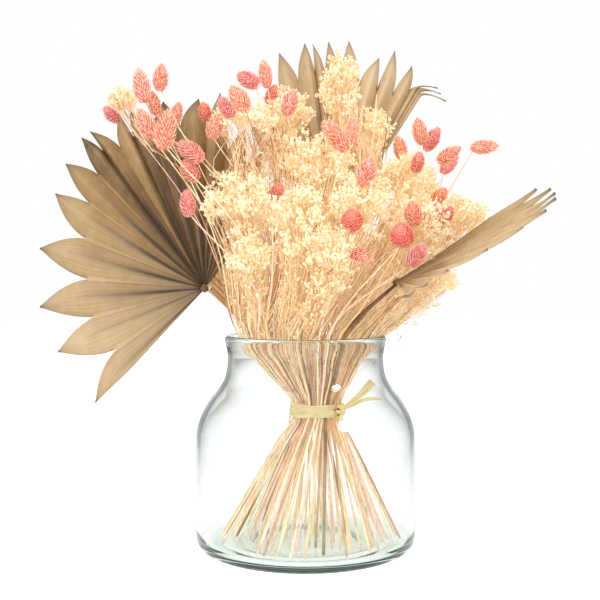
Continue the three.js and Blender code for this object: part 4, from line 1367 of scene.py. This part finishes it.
class BUNCH_OT_broom(bpy.types.Operator):
    """Make the cream sprays of broom, their twigs and their stems"""

    bl_idname = "bunch.broom"
    bl_label = "Broom"

    def execute(self, context):
        s, stems = context.scene.bunch_broom, context.scene.bunch_stem
        bloom = finished("floret", floret_finish, s)
        straw = finished("stem", stem_finish, stems)
        for i, sprays in enumerate(LAYOUT.brooms):
            name = f"broom_{i + 1:02d}"
            need(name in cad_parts, name)
            rng = np.random.default_rng(BROOM_SEED + i)
            shape = Shape()
            for spray in sprays:
                self.stems(shape, spray, stems, rng)
                self.spray(shape, spray, s, stems, rng)
            if i == STRAY_NODE:
                bent = smooth(STRAY, STRAY_POINTS)
                shape.tubes([bent], [np.full(STRAY_POINTS, 0.5)], 5, 1.0, material=1)
            shape.build(f"broom_sprays_{i + 1:02d}", [bloom, straw], name)
        return {"FINISHED"}

    def stems(self, shape, spray, stems, rng):
        """Each stem of the layout, with thinner ones close beside it, all ending inside the spray."""
        thick = stems.radius / MM
        top = spray["at"][2]
        for cell, path in zip(spray["cells"], spray["paths"]):
            for k in range(2 if spray["habit"][2] < LONG_REACH else 3 if spray["outside"] else 5):
                offset = 0 if k == 0 else rng.uniform(0.04, 0.15) * np.exp(1j * rng.uniform(0, ANY_TURN))
                if abs(cell + offset) > 1:
                    offset = -offset * 0.8
                foot = rng.normal(0, 2.2 if k == 0 else 5, 2)
                r = thick * (rng.uniform(0.72, 0.95) if k == 0 else rng.uniform(0.45, 0.9))
                line = smooth(beside(path, offset), ROUTE_POINTS)
                line[:, :2] += foot * np.clip((TIE_Z - line[:, 2:]) / TIE_Z, 0, 1)
                low = STATIONS[0][0]
                if k:
                    low = TIE_Z - 2 if k > 1 or rng.uniform() < 0.8 else low + min(rng.exponential(9), 40)
                high = top - spray["high"] * (0.2 if k == 0 else rng.uniform(0.4, 0.9))
                line = smooth(line[(line[:, 2] >= low) & (line[:, 2] < high)], BROOM_POINTS)
                radii = np.interp(line[:, 2], BROOM_Z, [r, r * 0.9, r * 0.6, 0.35])
                shape.tubes([line], [radii], 6, rng.choice(STRAND_TONES if k else MAIN_TONES), material=1)

    def spray(self, shape, spray, s, stems, rng):
        at, wide, high = spray["at"], spray["wide"], spray["high"]
        share_twigs, share_florets, reach = spray["habit"]
        twigs = int(s.twigs * share_twigs * min(1.25, (wide * high / 550) ** 0.5))
        k = np.arange(twigs)
        up = 1 - 1.55 * (k + 0.5) / twigs
        round_ = k * GOLDEN_ANGLE + rng.uniform(0, ANY_TURN)
        flat = np.sqrt(1 - up * up)
        inner = rng.uniform(size=twigs) < 0.3
        share = np.where(inner, rng.uniform(0.35, 0.75, twigs), rng.uniform(0.82, 1.06, twigs))
        out = np.stack([flat * np.cos(round_), flat * np.sin(round_), up], axis=1)
        centres = at + out * share[:, None] * (wide - 3.5, wide - 3.5, high - 3.5)
        centres = centres + rng.normal(0, 2, (twigs, 3))
        if share_florets and reach > LONG_REACH and at[2] > TRAIL_Z:
            low = (rng.uniform(size=twigs) < 0.24) * rng.uniform(0.2, 1, twigs)
            centres += (at - centres) * (0.5, 0.5, 0) * low[:, None] - (0, 0, 26) * low[:, None]
        lines, tones = [], []
        for c in centres:
            pick = rng.integers(len(spray["paths"]))
            cell, path = spray["cells"][pick], spray["paths"][pick]
            offset = rng.uniform(0.03, 0.16) * np.exp(1j * rng.uniform(0, ANY_TURN))
            if abs(cell + offset) > 1:
                offset = -offset * 0.8
            start = max(RIM_Z - rng.uniform(-14, 40), c[2] - reach * rng.uniform(0.8, 1.1))
            way = np.array(smooth(path, ROUTE_POINTS))
            foot = way[np.argmin(np.abs(way[:, 2] - start))]
            on_way = [p for p in path if start + 20 < p[2] < c[2] - 38]
            route = beside([foot, *on_way], offset)
            below = route[-1] + (c - route[-1]) * 0.55
            pull = (np.array([at[0], at[1], below[2]]) - below) * 0.28 + (0, 0, -2)
            route = [*route, below + pull, c] if share_florets else [route[0], below, c]
            lines.append(smooth(route, TWIG_POINTS))
            tones.append(rng.choice(TWIG_TONES))
        fine = stems.fine / MM
        radii = np.linspace(fine * 1.3, fine * 0.75, TWIG_POINTS) * (1 if share_florets else 2.4)
        shape.tubes(lines, radii[None], 3, tones, material=1)
        bloom = rng.uniform(size=twigs) < share_florets
        aims = np.array(lines)[:, -1] - np.array(lines)[:, -2]
        if bloom.any():
            lines, aims, share = np.array(lines)[bloom], aims[bloom], share[bloom]
            n = len(lines)
            self.florets(shape, aims, centres[bloom], share, s.florets // 3, s, fine, rng)
            for lowest, highest in ((0.25, 0.6), (0.6, 0.85)) if reach > LONG_REACH else ():
                t = rng.uniform(lowest, highest, n) * (TWIG_POINTS - 1)
                i = t.astype(int)
                here, ahead = lines[np.arange(n), i], lines[np.arange(n), i + 1]
                spot = here + (ahead - here) * (t - i)[:, None]
                self.florets(shape, aims, spot, share * highest, 1 if lowest < 0.5 else 2, s, fine, rng)

    def florets(self, shape, aims, centres, share, branches, s, fine, rng):
        """A loose cluster of florets on each twig, each branch on its own stalk."""
        n = len(centres) * branches
        aims = unit(aims + (0, 0, 0.4))
        aim = np.repeat(aims, branches, axis=0)
        centre = np.repeat(centres, branches, axis=0)
        spread = unit(rng.normal(size=(n, 3)))
        spread += aim * (0.35 - np.sum(spread * aim, axis=1, keepdims=True) * 0.45)
        end = centre + spread * rng.uniform(2.6, 6.6, (n, 1))
        root = centre - aim * rng.uniform(2.5, 6.5, (n, 1))
        stalk = end - root
        length = np.linalg.norm(stalk, axis=1)
        sizes = np.stack([np.full(n, fine * 0.7), np.full(n, fine * 0.7), length], axis=1)
        axes = frames(stalk, rng)
        tone = rng.uniform(0.35, 0.8, n)
        shape.stamp(SPIKE_POINTS, SPIKE_FACES, axes, sizes, root, tone, SPIKE_LIFT, material=1)
        depth = np.repeat(share, branches)
        for back in (0.0, 0.16, 0.34):
            size = s.size / MM * rng.uniform(0.7, 1.25, n)
            facing = unit(spread + aim * 0.6 + rng.normal(0, 0.45, (n, 3)))
            spot = end - stalk * (back * rng.uniform(0.6, 1.3, (n, 1))) + facing * size[:, None] * 0.3
            # Painted shade: florets deeper inside the spray and further back along their stalk take a lower,
            # golder tone, round which the tone varies at random
            tone = 0.2 + 0.55 * np.clip((depth - 0.4) / 0.6, 0, 1) + rng.normal(0, 0.13, n) - 0.2 * back
            start = spot - facing * size[:, None] * 0.6
            shape.stamp(FLORET_POINTS, FLORET_FACES, frames(facing, rng), size, start, tone, FLORET_LIFT)


# Panel and registration

PIECES = (BUNCH_OT_stage, BUNCH_OT_vase, BUNCH_OT_tie, BUNCH_OT_palms, BUNCH_OT_grass, BUNCH_OT_broom)
SETTINGS = {
    "bunch_stage": StageSettings,
    "bunch_vase": VaseSettings,
    "bunch_tie": TieSettings,
    "bunch_palm": PalmSettings,
    "bunch_grass": GrassSettings,
    "bunch_broom": BroomSettings,
    "bunch_stem": StemSettings,
}


class BUNCH_PT_panel(bpy.types.Panel):
    """Lists the pieces of the vase of dried flowers and their settings"""

    bl_idname = "BUNCH_PT_panel"
    bl_label = "Dried flowers"
    bl_space_type = "VIEW_3D"
    bl_region_type = "UI"
    bl_category = "Bunch"

    def draw(self, context):
        for piece in PIECES:
            self.layout.operator(piece.bl_idname)
        for label, settings in SETTINGS.items():
            box = self.layout.box()
            box.label(text=settings.__doc__)
            for prop in settings.__annotations__:
                box.prop(getattr(context.scene, label), prop)


LAYOUT = Layout()


def register():
    for settings in SETTINGS.values():
        bpy.utils.register_class(settings)
    for piece in (*PIECES, BUNCH_PT_panel):
        bpy.utils.register_class(piece)
    for label, settings in SETTINGS.items():
        setattr(bpy.types.Scene, label, PointerProperty(type=settings))


def unregister():
    for label in SETTINGS:
        delattr(bpy.types.Scene, label)
    for piece in (*PIECES, BUNCH_PT_panel):
        bpy.utils.unregister_class(piece)
    for settings in SETTINGS.values():
        bpy.utils.unregister_class(settings)


def main():
    register()
    bpy.ops.bunch.stage()
    bpy.ops.bunch.vase()
    bpy.ops.bunch.tie()
    bpy.ops.bunch.palms()
    bpy.ops.bunch.grass()
    bpy.ops.bunch.broom()


if __name__ == "__main__":
    main()
